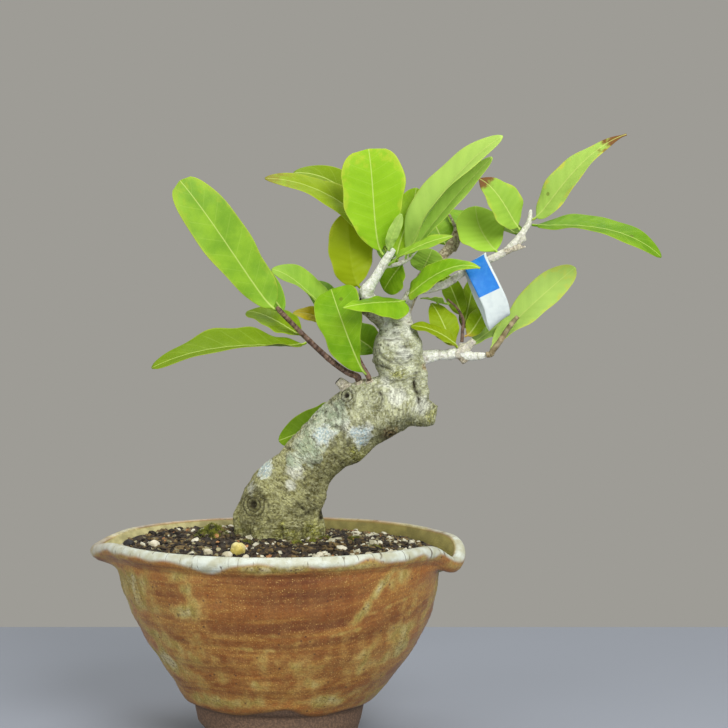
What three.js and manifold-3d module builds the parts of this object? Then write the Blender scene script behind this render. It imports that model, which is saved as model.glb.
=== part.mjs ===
// Star magnolia bonsai in a hand-thrown oval pot. Millimetres, +Z up.
// Everything is laid out from the middle of the pot's foot, and the last lines move
// the whole tree so that the origin is under the middle of its outer box.
import * as THREE from 'three';
import { mergeVertices } from 'three/addons/utils/BufferGeometryUtils.js';
import Module from 'manifold-3d';

const wasm = await Module();
wasm.setup();

// Driving dimensions
const potHeight = 114;
const rimHalfWidth = 98;
const rimHalfDepth = 81;
const potWall = 5;
const potFloorTop = 30;
const recessHeight = 14;
const footTopHeight = 20;
const drainDiameter = 12;
const drainSpacing = 44;
// Low arches between the feet, at three turns from +X
const footArch = { turns: [-48, 72, 192], halfWidth: 17, height: 9.35, out: 45 };
const soilEdgeHeight = 107;
const soilMound = 5;
const grainSize = 1.3;
const bladeThickness = 0.8;
const petioleThickness = 1.6;
const seatGap = 0.35;
const labelWidth = 14;
const labelThickness = 0.7;
const boxMiddle = { x: 54, y: 0 };

const potSides = 40;
const trunkFoot = { x: 0, y: 11, halfWidth: 27.6, halfDepth: 23.6, bottom: 88, top: 109 };

const vec = (p) => new THREE.Vector3(p[0], p[1], p[2]);
const mix = (a, b, t) => a + (b - a) * t;
const smooth = (a, b, x) => THREE.MathUtils.smoothstep(x, a, b);

// Mulberry32, so that every random draw is the same each time
function seeded(seed) {
  let state = seed;
  return () => {
    state = (state + 0x6d2b79f5) | 0;
    let t = Math.imul(state ^ (state >>> 15), 1 | state);
    t = (t + Math.imul(t ^ (t >>> 7), 61 | t)) ^ t;
    return ((t ^ (t >>> 14)) >>> 0) / 4294967296;
  };
}

// A closed skin over rings of equally many points. Its ends are closed by a fan to
// the ring's middle, or the last ring joins the first. otherWay(i) picks the side i
// whose squares are split along their other diagonal.
function skin(rings, { wrap = false, otherWay = () => false } = {}) {
  const sides = rings[0].length;
  const positions = rings.flat().flatMap((p) => [p.x, p.y, p.z]);
  const faces = [];
  const spans = wrap ? rings.length : rings.length - 1;
  for (let j = 0; j < spans; j++) {
    const below = j * sides;
    const above = ((j + 1) % rings.length) * sides;
    for (let i = 0; i < sides; i++) {
      const k = (i + 1) % sides;
      if (otherWay(i)) faces.push(below + i, below + k, above + i, below + k, above + k, above + i);
      else faces.push(below + i, below + k, above + k, below + i, above + k, above + i);
    }
  }
  if (!wrap) {
    const lastStart = (rings.length - 1) * sides;
    for (const [ring, start, inward] of [[rings[0], 0, true], [rings.at(-1), lastStart, false]]) {
      const middle = ring.reduce((sum, p) => sum.add(p), new THREE.Vector3()).divideScalar(sides);
      const hub = positions.length / 3;
      positions.push(middle.x, middle.y, middle.z);
      for (let i = 0; i < sides; i++) {
        const k = (i + 1) % sides;
        faces.push(...(inward ? [hub, start + k, start + i] : [hub, start + i, start + k]));
      }
    }
  }
  const geometry = new THREE.BufferGeometry();
  geometry.setAttribute('position', new THREE.Float32BufferAttribute(positions, 3));
  geometry.setIndex(faces);
  return outward(geometry);
}

// Turns a closed geometry's faces out if its volume comes out negative
function outward(geometry) {
  const p = geometry.getAttribute('position');
  const index = geometry.getIndex().array;
  const [a, b, c] = [new THREE.Vector3(), new THREE.Vector3(), new THREE.Vector3()];
  let volume = 0;
  for (let i = 0; i < index.length; i += 3) {
    a.fromBufferAttribute(p, index[i]);
    b.fromBufferAttribute(p, index[i + 1]);
    c.fromBufferAttribute(p, index[i + 2]);
    volume += a.dot(b.cross(c));
  }
  if (volume < 0) {
    const turned = Array.from(index);
    for (let i = 0; i < turned.length; i += 3) {
      [turned[i + 1], turned[i + 2]] = [turned[i + 2], turned[i + 1]];
    }
    geometry.setIndex(turned);
  }
  return geometry;
}

function solid(geometry) {
  const bare = geometry.clone();
  bare.deleteAttribute('normal');
  bare.deleteAttribute('uv');
  const merged = mergeVertices(bare, 1e-4);
  return new wasm.Manifold(new wasm.Mesh({
    numProp: 3,
    vertProperties: new Float32Array(merged.getAttribute('position').array),
    triVerts: new Uint32Array(merged.getIndex().array),
  }));
}

function geometryOf(manifold) {
  const mesh = manifold.getMesh();
  const geometry = new THREE.BufferGeometry();
  geometry.setAttribute('position', new THREE.Float32BufferAttribute(mesh.vertProperties, 3));
  geometry.setIndex(Array.from(mesh.triVerts));
  return geometry;
}

const joined = (parts) => parts.map(solid).reduce((a, b) => a.add(b));

// Oval pot: half widths at each height, with the wall's drift to the right
const potOutline = [
  { z: 0, half: 43, drift: 1 },
  { z: 10, half: 45.5, drift: 1 },
  { z: footTopHeight - 1, half: 47, drift: 1 },
  { z: footTopHeight + 1, half: 52, drift: 1 },
  { z: 31, half: 60, drift: 2.5 },
  { z: 46, half: 71.5, drift: 3.5 },
  { z: 60, half: 80, drift: 3 },
  { z: 72, half: 85.5, drift: 3 },
  { z: 84, half: 89, drift: 1.5 },
  { z: 95, half: 91.5, drift: 1 },
  { z: 103, half: 93.5, drift: 0.5 },
];
const rimLip = [
  { z: 106.5, half: rimHalfWidth - 1.5, drift: 0 },
  { z: 110.5, half: rimHalfWidth, drift: 0 },
  { z: 113.4, half: rimHalfWidth - 1.8, drift: 0 },
  { z: potHeight, half: rimHalfWidth - 4.2, drift: 0 },
  { z: 112, half: rimHalfWidth - 6.8, drift: 0 },
];
const potInside = [
  { z: 103, half: 93 - potWall, drift: 0.5 },
  { z: 95, half: 91.5 - potWall, drift: 1 },
  { z: 84, half: 89 - potWall, drift: 1.5 },
  { z: 60, half: 80 - potWall, drift: 3 },
  { z: 42, half: 66 - potWall, drift: 3 },
  { z: potFloorTop, half: 52 - potWall, drift: 2 },
];

// How far the rim is pulled out and let down at its two ends, by the turn from +X
const bell = (turn, middle, spread) => {
  const off = THREE.MathUtils.euclideanModulo(turn - middle + Math.PI, 2 * Math.PI) - Math.PI;
  return Math.exp(-((off / spread) ** 2));
};
const endDrop = (turn) => 10 * bell(turn, -0.17, 0.17) + 4.5 * bell(turn, Math.PI, 0.21);

function rimPull(turn, z) {
  const near = smooth(96, 106, z);
  const out = near * (9 * bell(turn, -0.05, 0.25) + 8.5 * bell(turn, Math.PI, 0.21));
  return { out, down: near * endDrop(turn) };
}

function ovalRing({ z, half, drift }, { shrink = 0, bumps = true } = {}) {
  const depthShare = mix(0.93, rimHalfDepth / rimHalfWidth, smooth(0, 70, z));
  return Array.from({ length: potSides }, (_, i) => {
    const turn = (i / potSides) * 2 * Math.PI - Math.PI;
    const throwing = bumps && z > footTopHeight + 5 && z < 104 ? 0.6 * Math.sin(z * 0.42 + turn) : 0;
    const pull = rimPull(turn, z);
    const across = half - shrink + throwing + pull.out;
    const along = (half - shrink + throwing) * depthShare;
    return new THREE.Vector3(drift + across * Math.cos(turn), along * Math.sin(turn), z - pull.down);
  });
}

function makePot() {
  const under = [
    ovalRing({ z: recessHeight, half: 20, drift: 1 }),
    ovalRing({ z: recessHeight, half: 34, drift: 1 }),
    ovalRing({ z: 0, half: 36, drift: 1 }),
  ];
  const rings = [...under, ...potOutline.map((p) => ovalRing(p)), ...rimLip.map((p) => ovalRing(p)),
    ...potInside.map((p) => ovalRing(p)), ovalRing({ z: potFloorTop, half: 24, drift: 1 })];
  let pot = solid(skin(rings));
  for (const side of [-1, 1]) {
    const drain = new THREE.CylinderGeometry(drainDiameter / 2, drainDiameter / 2, 40, 20);
    drain.rotateX(Math.PI / 2);
    drain.translate(1 + (side * drainSpacing) / 2, 0, potFloorTop - 10);
    pot = pot.subtract(solid(drain));
  }
  for (const degrees of footArch.turns) {
    const arch = new THREE.CylinderGeometry(footArch.halfWidth, footArch.halfWidth, 40, 24);
    arch.rotateZ(Math.PI / 2);
    arch.scale(1, 1, footArch.height / footArch.halfWidth);
    arch.translate(footArch.out, 0, 0);
    arch.rotateZ(THREE.MathUtils.degToRad(degrees));
    pot = pot.subtract(solid(arch));
  }
  return geometryOf(pot);
}

// Soil fills the pot, mounded to the trunk, with grains raised by a seeded draw
function makeSoil() {
  const draw = seeded(7);
  const floor = potFloorTop + 2;
  const wall = [
    { z: floor, half: 51.5 - potWall, drift: 2 },
    { z: 42, half: 66 - potWall, drift: 3 },
    { z: 60, half: 80 - potWall, drift: 3 },
    { z: 84, half: 89 - potWall, drift: 1.5 },
    { z: 94, half: 90.6 - potWall, drift: 1 },
  ].map((p) => ovalRing(p, { shrink: 0.7 }));
  const rings = [ovalRing({ z: floor, half: 24, drift: 2 }, { bumps: false }), ...wall];
  const edge = { z: soilEdgeHeight, half: 92.4 - potWall, drift: 0.5 };
  for (let step = 0; step < 11; step++) {
    const share = 1 - step * 0.088;
    const ring = ovalRing({ ...edge, z: 101, half: edge.half * share }, { shrink: 1.5, bumps: false });
    for (const p of ring) {
      const rise = soilMound * (1 - smooth(0.25, 1, share));
      const turn = Math.atan2(p.y, p.x);
      p.z = soilEdgeHeight + rise - 0.7 * endDrop(turn) * share ** 4 + grainSize * (draw() * 2 - 1);
      if (step > 0) p.x += grainSize * (draw() - 0.5);
      if (step > 0) p.y += grainSize * (draw() - 0.5);
    }
    rings.push(ring);
  }
  const pocket = skin([trunkFoot.bottom, potHeight + 12].map((z) => Array.from({ length: 32 }, (_, i) => {
    const turn = (i / 32) * 2 * Math.PI;
    return new THREE.Vector3(trunkFoot.x + (trunkFoot.halfWidth + 0.4) * Math.cos(turn),
      trunkFoot.y + (trunkFoot.halfDepth + 0.4) * Math.sin(turn), z);
  })));
  return geometryOf(solid(skin(rings)).subtract(solid(pocket)));
}

// Woody limbs: each is a list of points x, y, z and the radius there
const limbs = {
  stem: [[0, 11.5, 98, 19], [0, 11.5, 110, 20.5], [0, 12, 121, 23.6], [2, 12, 132, 22.5], [7, 12, 141, 20],
    [14, 11, 150, 17], [20, 10, 158, 16.3], [29, 9, 167, 17], [41, 8, 177, 18], [51, 6, 184, 18.6],
    [62, 4, 188, 17.6], [75, 2, 188, 13.5], [83, 1, 185, 8.5], [90, 0, 183, 5.5]],
  neck: [[73, 3, 188, 12.5], [72, 3, 200, 12.2], [71, 3, 208, 12.9], [69, 3, 216, 13.9], [68, 2, 224, 14],
    [68, 2, 230, 12], [67, 1, 235, 8], [68, 1, 238, 4.5]],
  neckRidge: [[80, 0, 216, 3.4], [81, -1, 205, 4.4], [81, -1, 196, 5], [80, 0, 188, 6]],
  rightRoot: [[14, 8, 127, 9], [19, 6, 118, 7.5], [20, 4, 107, 5]],
  leftRoot: [[-14, 10, 128, 9], [-19, 8, 120, 7], [-20, 7, 107, 5]],
  frontRoot: [[-6, 0, 126, 9], [-8, -3, 117, 7], [-8, -4, 107, 5]],
  middleRoot: [[8, 2, 122, 9], [10, -1, 115, 7], [10, -2, 107, 5]],
  backRoot: [[-2, 20, 126, 9], [-2, 23, 117, 7], [-2, 24, 107, 5]],
  sideRoot: [[12, 18, 124, 8], [14, 19, 116, 6.5], [15, 19, 107, 5]],
  cutStub: [[64, 1, 234, 6], [56, -3, 241, 4.8], [50, -5, 244, 4.2], [46, -7, 247, 3]],
  leftTwig: [[63, 0, 234, 5], [58, -3, 244, 3.6], [51, -7, 251, 4.2], [52, -8.5, 256, 3.4],
    [55, -10, 260, 2.4], [58, -11, 265, 2.2], [61.5, -12.5, 271, 2.1], [66, -14, 278, 2]],
  sideTwig: [[61, -12, 268, 1.5], [68, -11.5, 269, 1.5], [74, -10, 272, 1.6], [80, -8, 278, 1.2]],
  rightBranch: [[69, 1, 230, 6], [72, 1, 238, 4], [73, 0, 246, 3.4], [76, -2, 252, 3.1],
    [81, -4, 254.5, 2.8], [88, -5, 255.5, 2.6], [96, -6, 258, 2.4], [105, -6, 264, 2.2], [114, -6, 269, 2.2],
    [121, -6, 272, 2.3], [129, -5, 276, 2.3], [135, -4, 281, 2.2], [141, -4, 284, 1.9]],
  forkStub: [[129, -5, 276, 1.7], [136, -6, 278, 1.3], [141, -6, 279, 0.9]],
  topTwig: [[132, -5, 279, 2.1], [136, -4, 283, 2.1], [140, -2, 288, 2], [143, 0, 293, 1.8],
    [144, 2, 300, 1.3]],
  backBranch: [[72, 1, 240, 3.4], [78, 7, 253, 3.3], [84, 12, 263, 3.2], [89, 14, 268, 2.9],
    [96, 18, 275, 3.1], [101, 20, 281, 3.7], [103, 22, 287, 2.4], [103, 22, 291, 1.5]],
  thinTwig: [[103, 22, 288, 1.4], [98, 20, 298, 1], [90, 18, 304, 0.9]],
  ringedStub: [[102, 21, 285, 2], [107, 20.5, 289, 1.9], [110, 20, 291, 1.7]],
  lowBranch: [[74, 3, 211, 5.5], [82, 2.5, 215, 4], [90, 1, 217, 3.6], [97, 0, 217.5, 3.4],
    [104, -2, 219, 3.1], [109, -2.5, 217, 2.7], [114, -4, 217, 2.4], [118.5, -5, 217.8, 2]],
  lowStub: [[103, -2, 218.5, 2.7], [109, -3, 223, 2.4], [112, -4, 226, 2.2]],
  lowKnot: [[104, -1, 218, 2.4], [107, -2, 213, 2.2]],
  sideKnot: [[46, 4, 192, 3.8], [40, 4, 198, 2.8], [34, 4, 203.5, 2]],
  backSpur: [[42, 20, 184, 4], [40, 28, 189, 1.8]],
  neckSpur: [[62, 9, 213, 3.4], [54.5, 15, 213.5, 1.7]],
  leftCollar: [[50, 3, 196, 4], [46.5, 0, 203, 2.5]],
  middleCollar: [[55, 1, 196, 4], [52.5, -3, 203.5, 2]],
  lowCollar: [[104.5, -1, 219, 2.4], [105, 0, 224.5, 1.7]],
};

// Young brown shoots, each starting just clear of the limb that carries it
const shoots = {
  leftShoot: {
    from: 'leftCollar', radius: 1.9,
    path: [[39, -6, 207, 1.7], [30, -10, 212.5, 1.6], [19, -16, 224, 1.5], [9, -20, 235.5, 1.4],
      [3, -22, 243, 1.5], [1, -23, 245.5, 1]],
  },
  innerShoot: {
    from: 'middleCollar', radius: 1.5,
    path: [[48, 1, 212, 1.4], [43, 4, 223, 1.3], [37, 6, 236, 1.2], [34, 6, 245, 1]],
  },
  lowShoot: {
    from: 'lowBranch', radius: 1.7,
    path: [[122.5, -5.5, 220.5, 1.7], [126, -5, 225, 1.6], [132, -4, 234, 1.5], [136.5, -4, 239.5, 1.2]],
  },
  darkShoot: {
    from: 'lowCollar', radius: 1,
    path: [[105.5, 3, 231, 0.9], [106, 4, 237, 1], [102.5, 4, 244, 0.7], [97, 3, 249, 0.6]],
  },
};

const radiusAt = (points, t) => {
  const place = t * (points.length - 1);
  const k = Math.min(Math.floor(place), points.length - 2);
  return mix(points[k][3], points[k + 1][3], place - k);
};
const curveOf = (points) => new THREE.CatmullRomCurve3(points.map(vec), false, 'catmullrom', 0.5);

// A limb's skin: rings square to its path, with the bumps that bark(turn, t) adds
function limbSkin(points, { sides = 7, steps = 0, bark = () => 0 } = {}) {
  const count = steps || Math.ceil((points.length - 1) * 1.4);
  const curve = curveOf(points);
  const rings = [];
  let across = new THREE.Vector3(0, 1, 0);
  for (let j = 0; j <= count; j++) {
    const t = j / count;
    const middle = curve.getPoint(t);
    const ahead = curve.getTangent(t);
    across = across.clone().addScaledVector(ahead, -across.dot(ahead)).normalize();
    const up = ahead.clone().cross(across);
    const radius = radiusAt(points, t);
    rings.push(Array.from({ length: sides }, (_, i) => {
      const turn = (i / sides) * 2 * Math.PI;
      const r = radius * (1 + bark(turn, t));
      return middle.clone().addScaledVector(across, r * Math.cos(turn))
        .addScaledVector(up, r * Math.sin(turn));
    }));
  }
  return skin(rings);
}

// A shoot leaves the limb that carries it straight off its end
const shootStraight = 2.5;

function shootPoints({ from, radius, path }) {
  const carrier = curveOf(limbs[from]);
  const first = [seatGap, seatGap + shootStraight].map((reach) => {
    const p = carrier.getPoint(1).addScaledVector(carrier.getTangent(1), reach);
    return [p.x, p.y, p.z, radius];
  });
  return [...first, ...path];
}

// A raised ring of bark round an old cut
function scar(middle, facing, radius, thickness) {
  const ring = new THREE.TorusGeometry(radius, thickness, 6, 14);
  const along = new THREE.Vector3(0, 0, 1);
  const turned = new THREE.Quaternion().setFromUnitVectors(along, vec(facing).normalize());
  ring.applyQuaternion(turned);
  ring.translate(...middle);
  return ring;
}

function makeTrunk() {
  const footRows = [[trunkFoot.bottom + 0.4, 1], [trunkFoot.top, 1], [trunkFoot.top + 3, 0.86]];
  const foot = footRows.map(([z, share]) =>
    Array.from({ length: 20 }, (_, i) => {
      const turn = (i / 20) * 2 * Math.PI;
      return new THREE.Vector3(trunkFoot.x + trunkFoot.halfWidth * share * Math.cos(turn),
        trunkFoot.y + trunkFoot.halfDepth * share * Math.sin(turn), z);
    }));
  const stemBark = (turn, t) => 0.035 * Math.sin(3 * turn + 9 * t) + 0.025 * Math.sin(5 * turn - 14 * t)
    + 0.02 * Math.sin(40 * t + turn);
  const neckBark = (turn, t) => 0.045 * Math.sin(26 * t + 0.8 * Math.sin(turn))
    + 0.02 * Math.sin(4 * turn + 7 * t);
  const { stem, neck, ...rest } = limbs;
  const parts = [
    skin(foot),
    limbSkin(stem, { sides: 15, steps: 25, bark: stemBark }),
    limbSkin(neck, { sides: 14, steps: 16, bark: neckBark }),
    ...Object.values(rest).map((points) => limbSkin(points)),
    scar([41, -4, 190.5], [-0.1, -0.75, 0.65], 4.2, 1.5),
    scar([-14, -5, 131], [-0.6, -0.8, 0], 4.6, 1.7),
    scar([62, -10, 176], [0.1, -0.8, -0.6], 3, 1.2),
  ];
  return geometryOf(joined(parts));
}

// Leaves. Each sits on a twig at a share of its length, and runs to its tip. face is
// where the upper side looks, arch lifts the middle of the midrib that way (or bow
// bends it another way), fold lifts both edges, peak is where along the blade it is
// widest, and point makes the tip sharper. leave is the way the stalk leaves its
// twig, where that isn't straight towards the tip, and stalk is how far it keeps it.
const leaves = {
  leaf_left_high: {
    on: 'leftShoot', at: 0.93, tip: [-51, -38, 315], width: 30, face: [0.2, -0.9, 0.35],
    leave: [-0.6, -0.3, 0.75], arch: 4, peak: 0.63, point: 0.45,
  },
  leaf_left_long: {
    on: 'leftShoot', at: 0.58, tip: [-66, -48, 213], width: 25, face: [0.05, -0.35, 0.94],
    bow: [4, -4, 14], fold: 0.45,
  },
  leaf_left_back: {
    on: 'leftShoot', at: 0.62, tip: [-17, 6, 242], width: 20, face: [0.2, -0.6, 0.75], arch: 4,
  },
  leaf_pale_left: {
    on: 'innerShoot', at: 0.93, tip: [-3, 1, 266], width: 24, face: [0.2, -0.45, 0.88], arch: 5,
    fold: 0.45,
  },
  leaf_yellow: {
    on: 'innerShoot', at: 0.78, tip: [9, 6, 241], width: 12, face: [0.2, -0.6, 0.75], arch: 4,
  },
  leaf_broad: {
    on: 'innerShoot', at: 0.22, tip: [31, -8, 255], width: 28, face: [-0.15, -0.95, 0.2],
    leave: [-0.4, -1, 0.1], arch: 9, peak: 0.66,
  },
  leaf_behind_neck: {
    on: 'neckSpur', at: 0.8, tip: [34, 34, 231], width: 22, face: [-0.1, -0.8, 0.5], arch: 3,
  },
  leaf_low_back: {
    on: 'backSpur', at: 0.8, tip: [-1, 44, 164], width: 21, face: [-0.4, -0.85, 0.4], arch: -4,
  },
  leaf_top_upright: {
    on: 'leftTwig', at: 0.9, tip: [52, -22, 333], width: 36, face: [0.05, -0.97, 0.2], arch: 3,
    peak: 0.66, point: 0.42,
  },
  leaf_top_left: {
    on: 'leftTwig', at: 0.97, tip: [-6, -10, 317], width: 21, face: [-0.1, -0.6, 0.8],
    leave: [0, 1, 0.6], stalk: 12, bow: [12, 8, 16],
  },
  leaf_top_left_back: {
    on: 'leftTwig', at: 0.92, tip: [9, 18, 321], width: 22, face: [-0.3, -0.6, 0.75],
    leave: [-0.2, 1, 0.3], stalk: 14, bow: [14, 14, 21],
  },
  leaf_olive: {
    on: 'leftTwig', at: 0.36, tip: [40, 0, 298], width: 22, face: [0, 1, 0.1], bow: [-2, -7, 0],
  },
  leaf_top_right: {
    on: 'sideTwig', at: 0.62, tip: [125, -40, 339], width: 24, face: [-0.64, -0.52, 0.57],
    bow: [-10, -4, 8], fold: 0.6,
  },
  leaf_top_right_low: {
    on: 'sideTwig', at: 0.74, tip: [120, -30, 328], width: 15, face: [-0.64, -0.52, 0.57],
    bow: [-2, 0, 2], fold: 0.6,
  },
  leaf_top_mid_back: {
    on: 'sideTwig', at: 0.4, tip: [79, -2, 312], width: 18, face: [0, -0.9, 0.4], leave: [0.5, 0.3, 1],
    bow: [2, 2, 0], peak: 0.66,
  },
  leaf_small_pale: {
    on: 'leftTwig', at: 0.97, tip: [70, -28, 297], width: 8, face: [0, -1, 0.1], arch: 1,
  },
  leaf_narrow: {
    on: 'sideTwig', at: 0.12, tip: [98, -36, 284.8], width: 10, face: [-0.2, -0.6, 0.75],
    leave: [-0.2, -1, 0.2], stalk: 7, bow: [-6, -19, 3],
  },
  leaf_front_left: {
    on: 'rightBranch', at: 0.2, tip: [38, -34, 245.3], width: 18, face: [0.1, -0.6, 0.8],
    leave: [-0.3, -1, 0.1], bow: [0, -8, 0], fold: -0.45, peak: 0.36, point: 0.8,
  },
  leaf_front_right: {
    on: 'rightBranch', at: 0.25, tip: [114, -22, 267], width: 12, face: [-0.3, -0.65, 0.7],
    leave: [-0.1, -1, 0], bow: [0, -2, 14],
  },
  leaf_inner_green: {
    on: 'sideTwig', at: 0.5, tip: [61, 3, 254], width: 15, face: [-0.3, -0.9, 0.3], leave: [0, 1, -0.3],
    arch: 2,
  },
  leaf_inner_pale: {
    on: 'backBranch', at: 0.28, tip: [88, -1, 277.5], width: 13, face: [0.1, -0.95, 0.2],
    leave: [-0.4, -1, 0.2], arch: 2,
  },
  leaf_under_branch: {
    on: 'rightBranch', at: 0.52, tip: [90, 6, 261], width: 9, face: [0.1, -0.9, 0.4],
    leave: [0, 0.3, 1], arch: 2,
  },
  leaf_edge_on: {
    on: 'darkShoot', at: 0.95, tip: [81.5, 0, 249.6], width: 11, face: [0, 0.12, 1], bow: [0, 0, 1.5],
  },
  leaf_round: {
    on: 'rightBranch', at: 0.8, tip: [113.5, 14, 302], width: 28, face: [0, -0.9, 0.4],
    leave: [-0.5, 1, 0.4], stalk: 9, bow: [-5, 3, -3], peak: 0.6,
  },
  leaf_brown_tip: {
    on: 'topTwig', at: 0.45, tip: [114, -8, 317], width: 22, face: [0.2, -0.85, 0.5], arch: 7,
  },
  leaf_dark_back: {
    on: 'topTwig', at: 0.4, tip: [127, 38, 296], width: 17, face: [0.2, -0.8, 0.5], bow: [0, 8, 0],
  },
  leaf_dry_tip: {
    on: 'topTwig', at: 0.8, tip: [195, -20, 341], width: 19, face: [-0.3, -0.7, 0.6],
    bow: [-7, 0, 10.5], peak: 0.38, point: 1.1,
  },
  leaf_far_right: {
    on: 'topTwig', at: 0.7, tip: [214, -26, 273], width: 25, face: [0.2, -0.45, 0.88], arch: 12,
  },
  leaf_right_low: {
    on: 'lowShoot', at: 0.4, tip: [170, 6, 267], width: 22, face: [-0.5, -0.75, 0.4],
    leave: [-0.3, 1, 0.1], stalk: 9, bow: [-1, 8, 2], peak: 0.7,
  },
  leaf_right_small: {
    on: 'lowStub', at: 0.45, tip: [150, 12, 246], width: 13, face: [0.1, -0.35, 0.93],
    leave: [0.3, 1, 0], bow: [0, 16, 4],
  },
  leaf_behind_label: {
    on: 'darkShoot', at: 0.25, tip: [123, 14, 247], width: 12, face: [-0.2, -0.9, 0.3], arch: 2,
  },
  leaf_yellow_green: {
    on: 'lowCollar', at: 0.6, tip: [88, 9, 246.5], width: 16, face: [0.2, -0.9, 0.4], arch: 3,
    point: 0.8,
  },
  leaf_beside_neck: {
    on: 'lowBranch', at: 0.55, tip: [76, -6, 234], width: 9, face: [-0.1, -0.6, 0.75], arch: 5,
  },
  leaf_tuft_left: {
    on: 'darkShoot', at: 0.68, tip: [97, 23, 262], width: 12, face: [0, -0.95, 0.3], arch: 2,
  },
  leaf_tuft_right: {
    on: 'darkShoot', at: 0.47, tip: [113, 27, 260], width: 12, face: [0.3, -0.9, 0.2], arch: 2,
  },
  leaf_rear_top: {
    on: 'leftTwig', at: 0.82, tip: [80, 52, 306], width: 22, face: [0, -0.6, 0.8], leave: [0, 1, 0],
    bow: [0, 10, 12],
  },
  leaf_rear_broad: {
    on: 'innerShoot', at: 0.75, tip: [16, 36, 264], width: 22, face: [0.2, -0.6, 0.75], arch: 5,
  },
  leaf_rear_right: {
    on: 'backBranch', at: 0.93, tip: [118, 60, 298], width: 24, face: [0, -0.3, 0.95], arch: 5,
  },
  leaf_rear_middle: {
    on: 'backBranch', at: 0.66, tip: [86, 56, 298], width: 25, face: [0, -0.5, 0.85], arch: 5,
  },
  leaf_rear_left: {
    on: 'leftShoot', at: 0.8, tip: [-38, -2, 296], width: 18, face: [-0.2, 0.9, 0.4], arch: 5,
  },
  leaf_rear_low: {
    on: 'backBranch', at: 0.32, tip: [110, 60, 246], width: 22, face: [0, -0.5, 0.85],
    leave: [0.3, 1, -0.3], bow: [0, 10, 0],
  },
};
const leafRows = [0, 0.1, 0.2, 0.33, 0.47, 0.61, 0.74, 0.86, 0.95, 1];
const leafColumns = [-1, -0.5, 0, 0.5, 1];
const petioleShare = 0.1;
const stalkReach = 7;

const twigOf = (name) => (limbs[name] ? limbs[name] : shootPoints(shoots[name]));

// Half the blade's width along the leaf, from a wedge at its base to a blunt tip
function bladeHalf(s, { width, peak = 0.56, point = 0.55 }) {
  const along = Math.max(0, (s - petioleShare) / (1 - petioleShare));
  const wedge = (point * peak) / (1 - peak);
  const shape = (x) => x ** wedge * (1 - x) ** point;
  return Math.max(petioleThickness / 2, (width / 2) * (shape(along) / shape(peak)));
}

function makeLeaf(leaf, order) {
  const { on, at, stalk, arch = 3, fold = 0.18, wave = 1 } = leaf;
  const twig = twigOf(on);
  const curve = curveOf(twig);
  const tip = vec(leaf.tip);
  const node = curve.getPoint(at);
  const along = curve.getTangent(at);
  const away = leaf.leave ? vec(leaf.leave) : tip.clone().sub(node);
  away.addScaledVector(along, -away.dot(along)).normalize();
  const base = node.clone().addScaledVector(away, radiusAt(twig, at) + seatGap);
  const face = vec(leaf.face).normalize();
  const reach = tip.distanceTo(base);
  const bow = leaf.bow ? vec(leaf.bow) : face.clone().multiplyScalar(arch * 1.6);
  const stalkEnd = base.clone().addScaledVector(away, stalk ?? Math.min(0.16 * reach, stalkReach));
  const midrib = new THREE.CubicBezierCurve3(base, stalkEnd, base.clone().lerp(tip, 0.6).add(bow), tip);
  const rings = leafRows.map((s) => {
    const middle = midrib.getPoint(s);
    const ahead = midrib.getTangent(s);
    const side = ahead.clone().cross(face).normalize();
    const up = side.clone().cross(ahead);
    const half = bladeHalf(s, leaf);
    const thick = mix(petioleThickness, bladeThickness, smooth(petioleShare, 0.25, s)) / 2;
    const ends = Math.sin(Math.PI * s);
    const at2 = (v, level) => {
      const ripple = wave * ends * v * v * Math.sin(12 * s + order + (v > 0 ? 0 : 2));
      return middle.clone().addScaledVector(side, v * half)
        .addScaledVector(up, fold * Math.abs(v) * half * ends + ripple + level * thick);
    };
    return [...leafColumns.map((v) => at2(v, 1)), ...leafColumns.toReversed().map((v) => at2(v, -1))];
  });
  return skin(rings, { otherWay: (i) => i >= leafColumns.length });
}

// Plastic name band: a flat loop hung over the right branch. Each point gives the
// middle of the band and the way its width runs.
const labelLoop = [
  { at: [112, -6, 272.1], across: [0.85, 0, 0.5] },
  { at: [112, -9.5, 270.5], across: [0.85, 0, 0.5] },
  { at: [115, -12.5, 264], across: [0.83, 0, 0.56] },
  { at: [119.5, -13.5, 255], across: [0.83, 0, 0.56] },
  { at: [123.5, -13.5, 246], across: [0.81, 0, 0.58] },
  { at: [125, -12, 239], across: [0.77, 0, 0.64] },
  { at: [125.5, -8.5, 236], across: [0.76, 0, 0.65] },
  { at: [124.5, -5, 238], across: [0.77, 0, 0.64] },
  { at: [122, -3.2, 244.5], across: [0.8, 0, 0.6] },
  { at: [118, -3, 253], across: [0.83, 0, 0.55] },
  { at: [114.5, -2.8, 262], across: [0.85, 0, 0.5] },
  { at: [112, -2.8, 269], across: [0.85, 0, 0.5] },
];

function makeLabel() {
  const curve = new THREE.CatmullRomCurve3(labelLoop.map((p) => vec(p.at)), true, 'catmullrom', 0.5);
  const widths = new THREE.CatmullRomCurve3(labelLoop.map((p) => vec(p.across)), true, 'catmullrom', 0.5);
  const steps = 36;
  const rings = Array.from({ length: steps }, (_, j) => {
    const t = j / steps;
    const middle = curve.getPoint(t);
    const ahead = curve.getTangent(t);
    const across = widths.getPoint(t);
    across.addScaledVector(ahead, -across.dot(ahead)).normalize();
    const out = across.clone().cross(ahead);
    return [[-1, -1], [1, -1], [1, 1], [-1, 1]].map(([w, h]) => middle.clone()
      .addScaledVector(across, (w * labelWidth) / 2).addScaledVector(out, (h * labelThickness) / 2));
  });
  return skin(rings, { wrap: true });
}

// Drain screen: a plastic plate with square holes that lies over a drain hole
function makeScreen() {
  let plate = solid(new THREE.BoxGeometry(22, 22, 1));
  for (const x of [-6, 0, 6]) {
    for (const y of [-6, 0, 6]) {
      plate = plate.subtract(solid(new THREE.BoxGeometry(4, 4, 3).translate(x, y, 0)));
    }
  }
  return geometryOf(plate);
}

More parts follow.
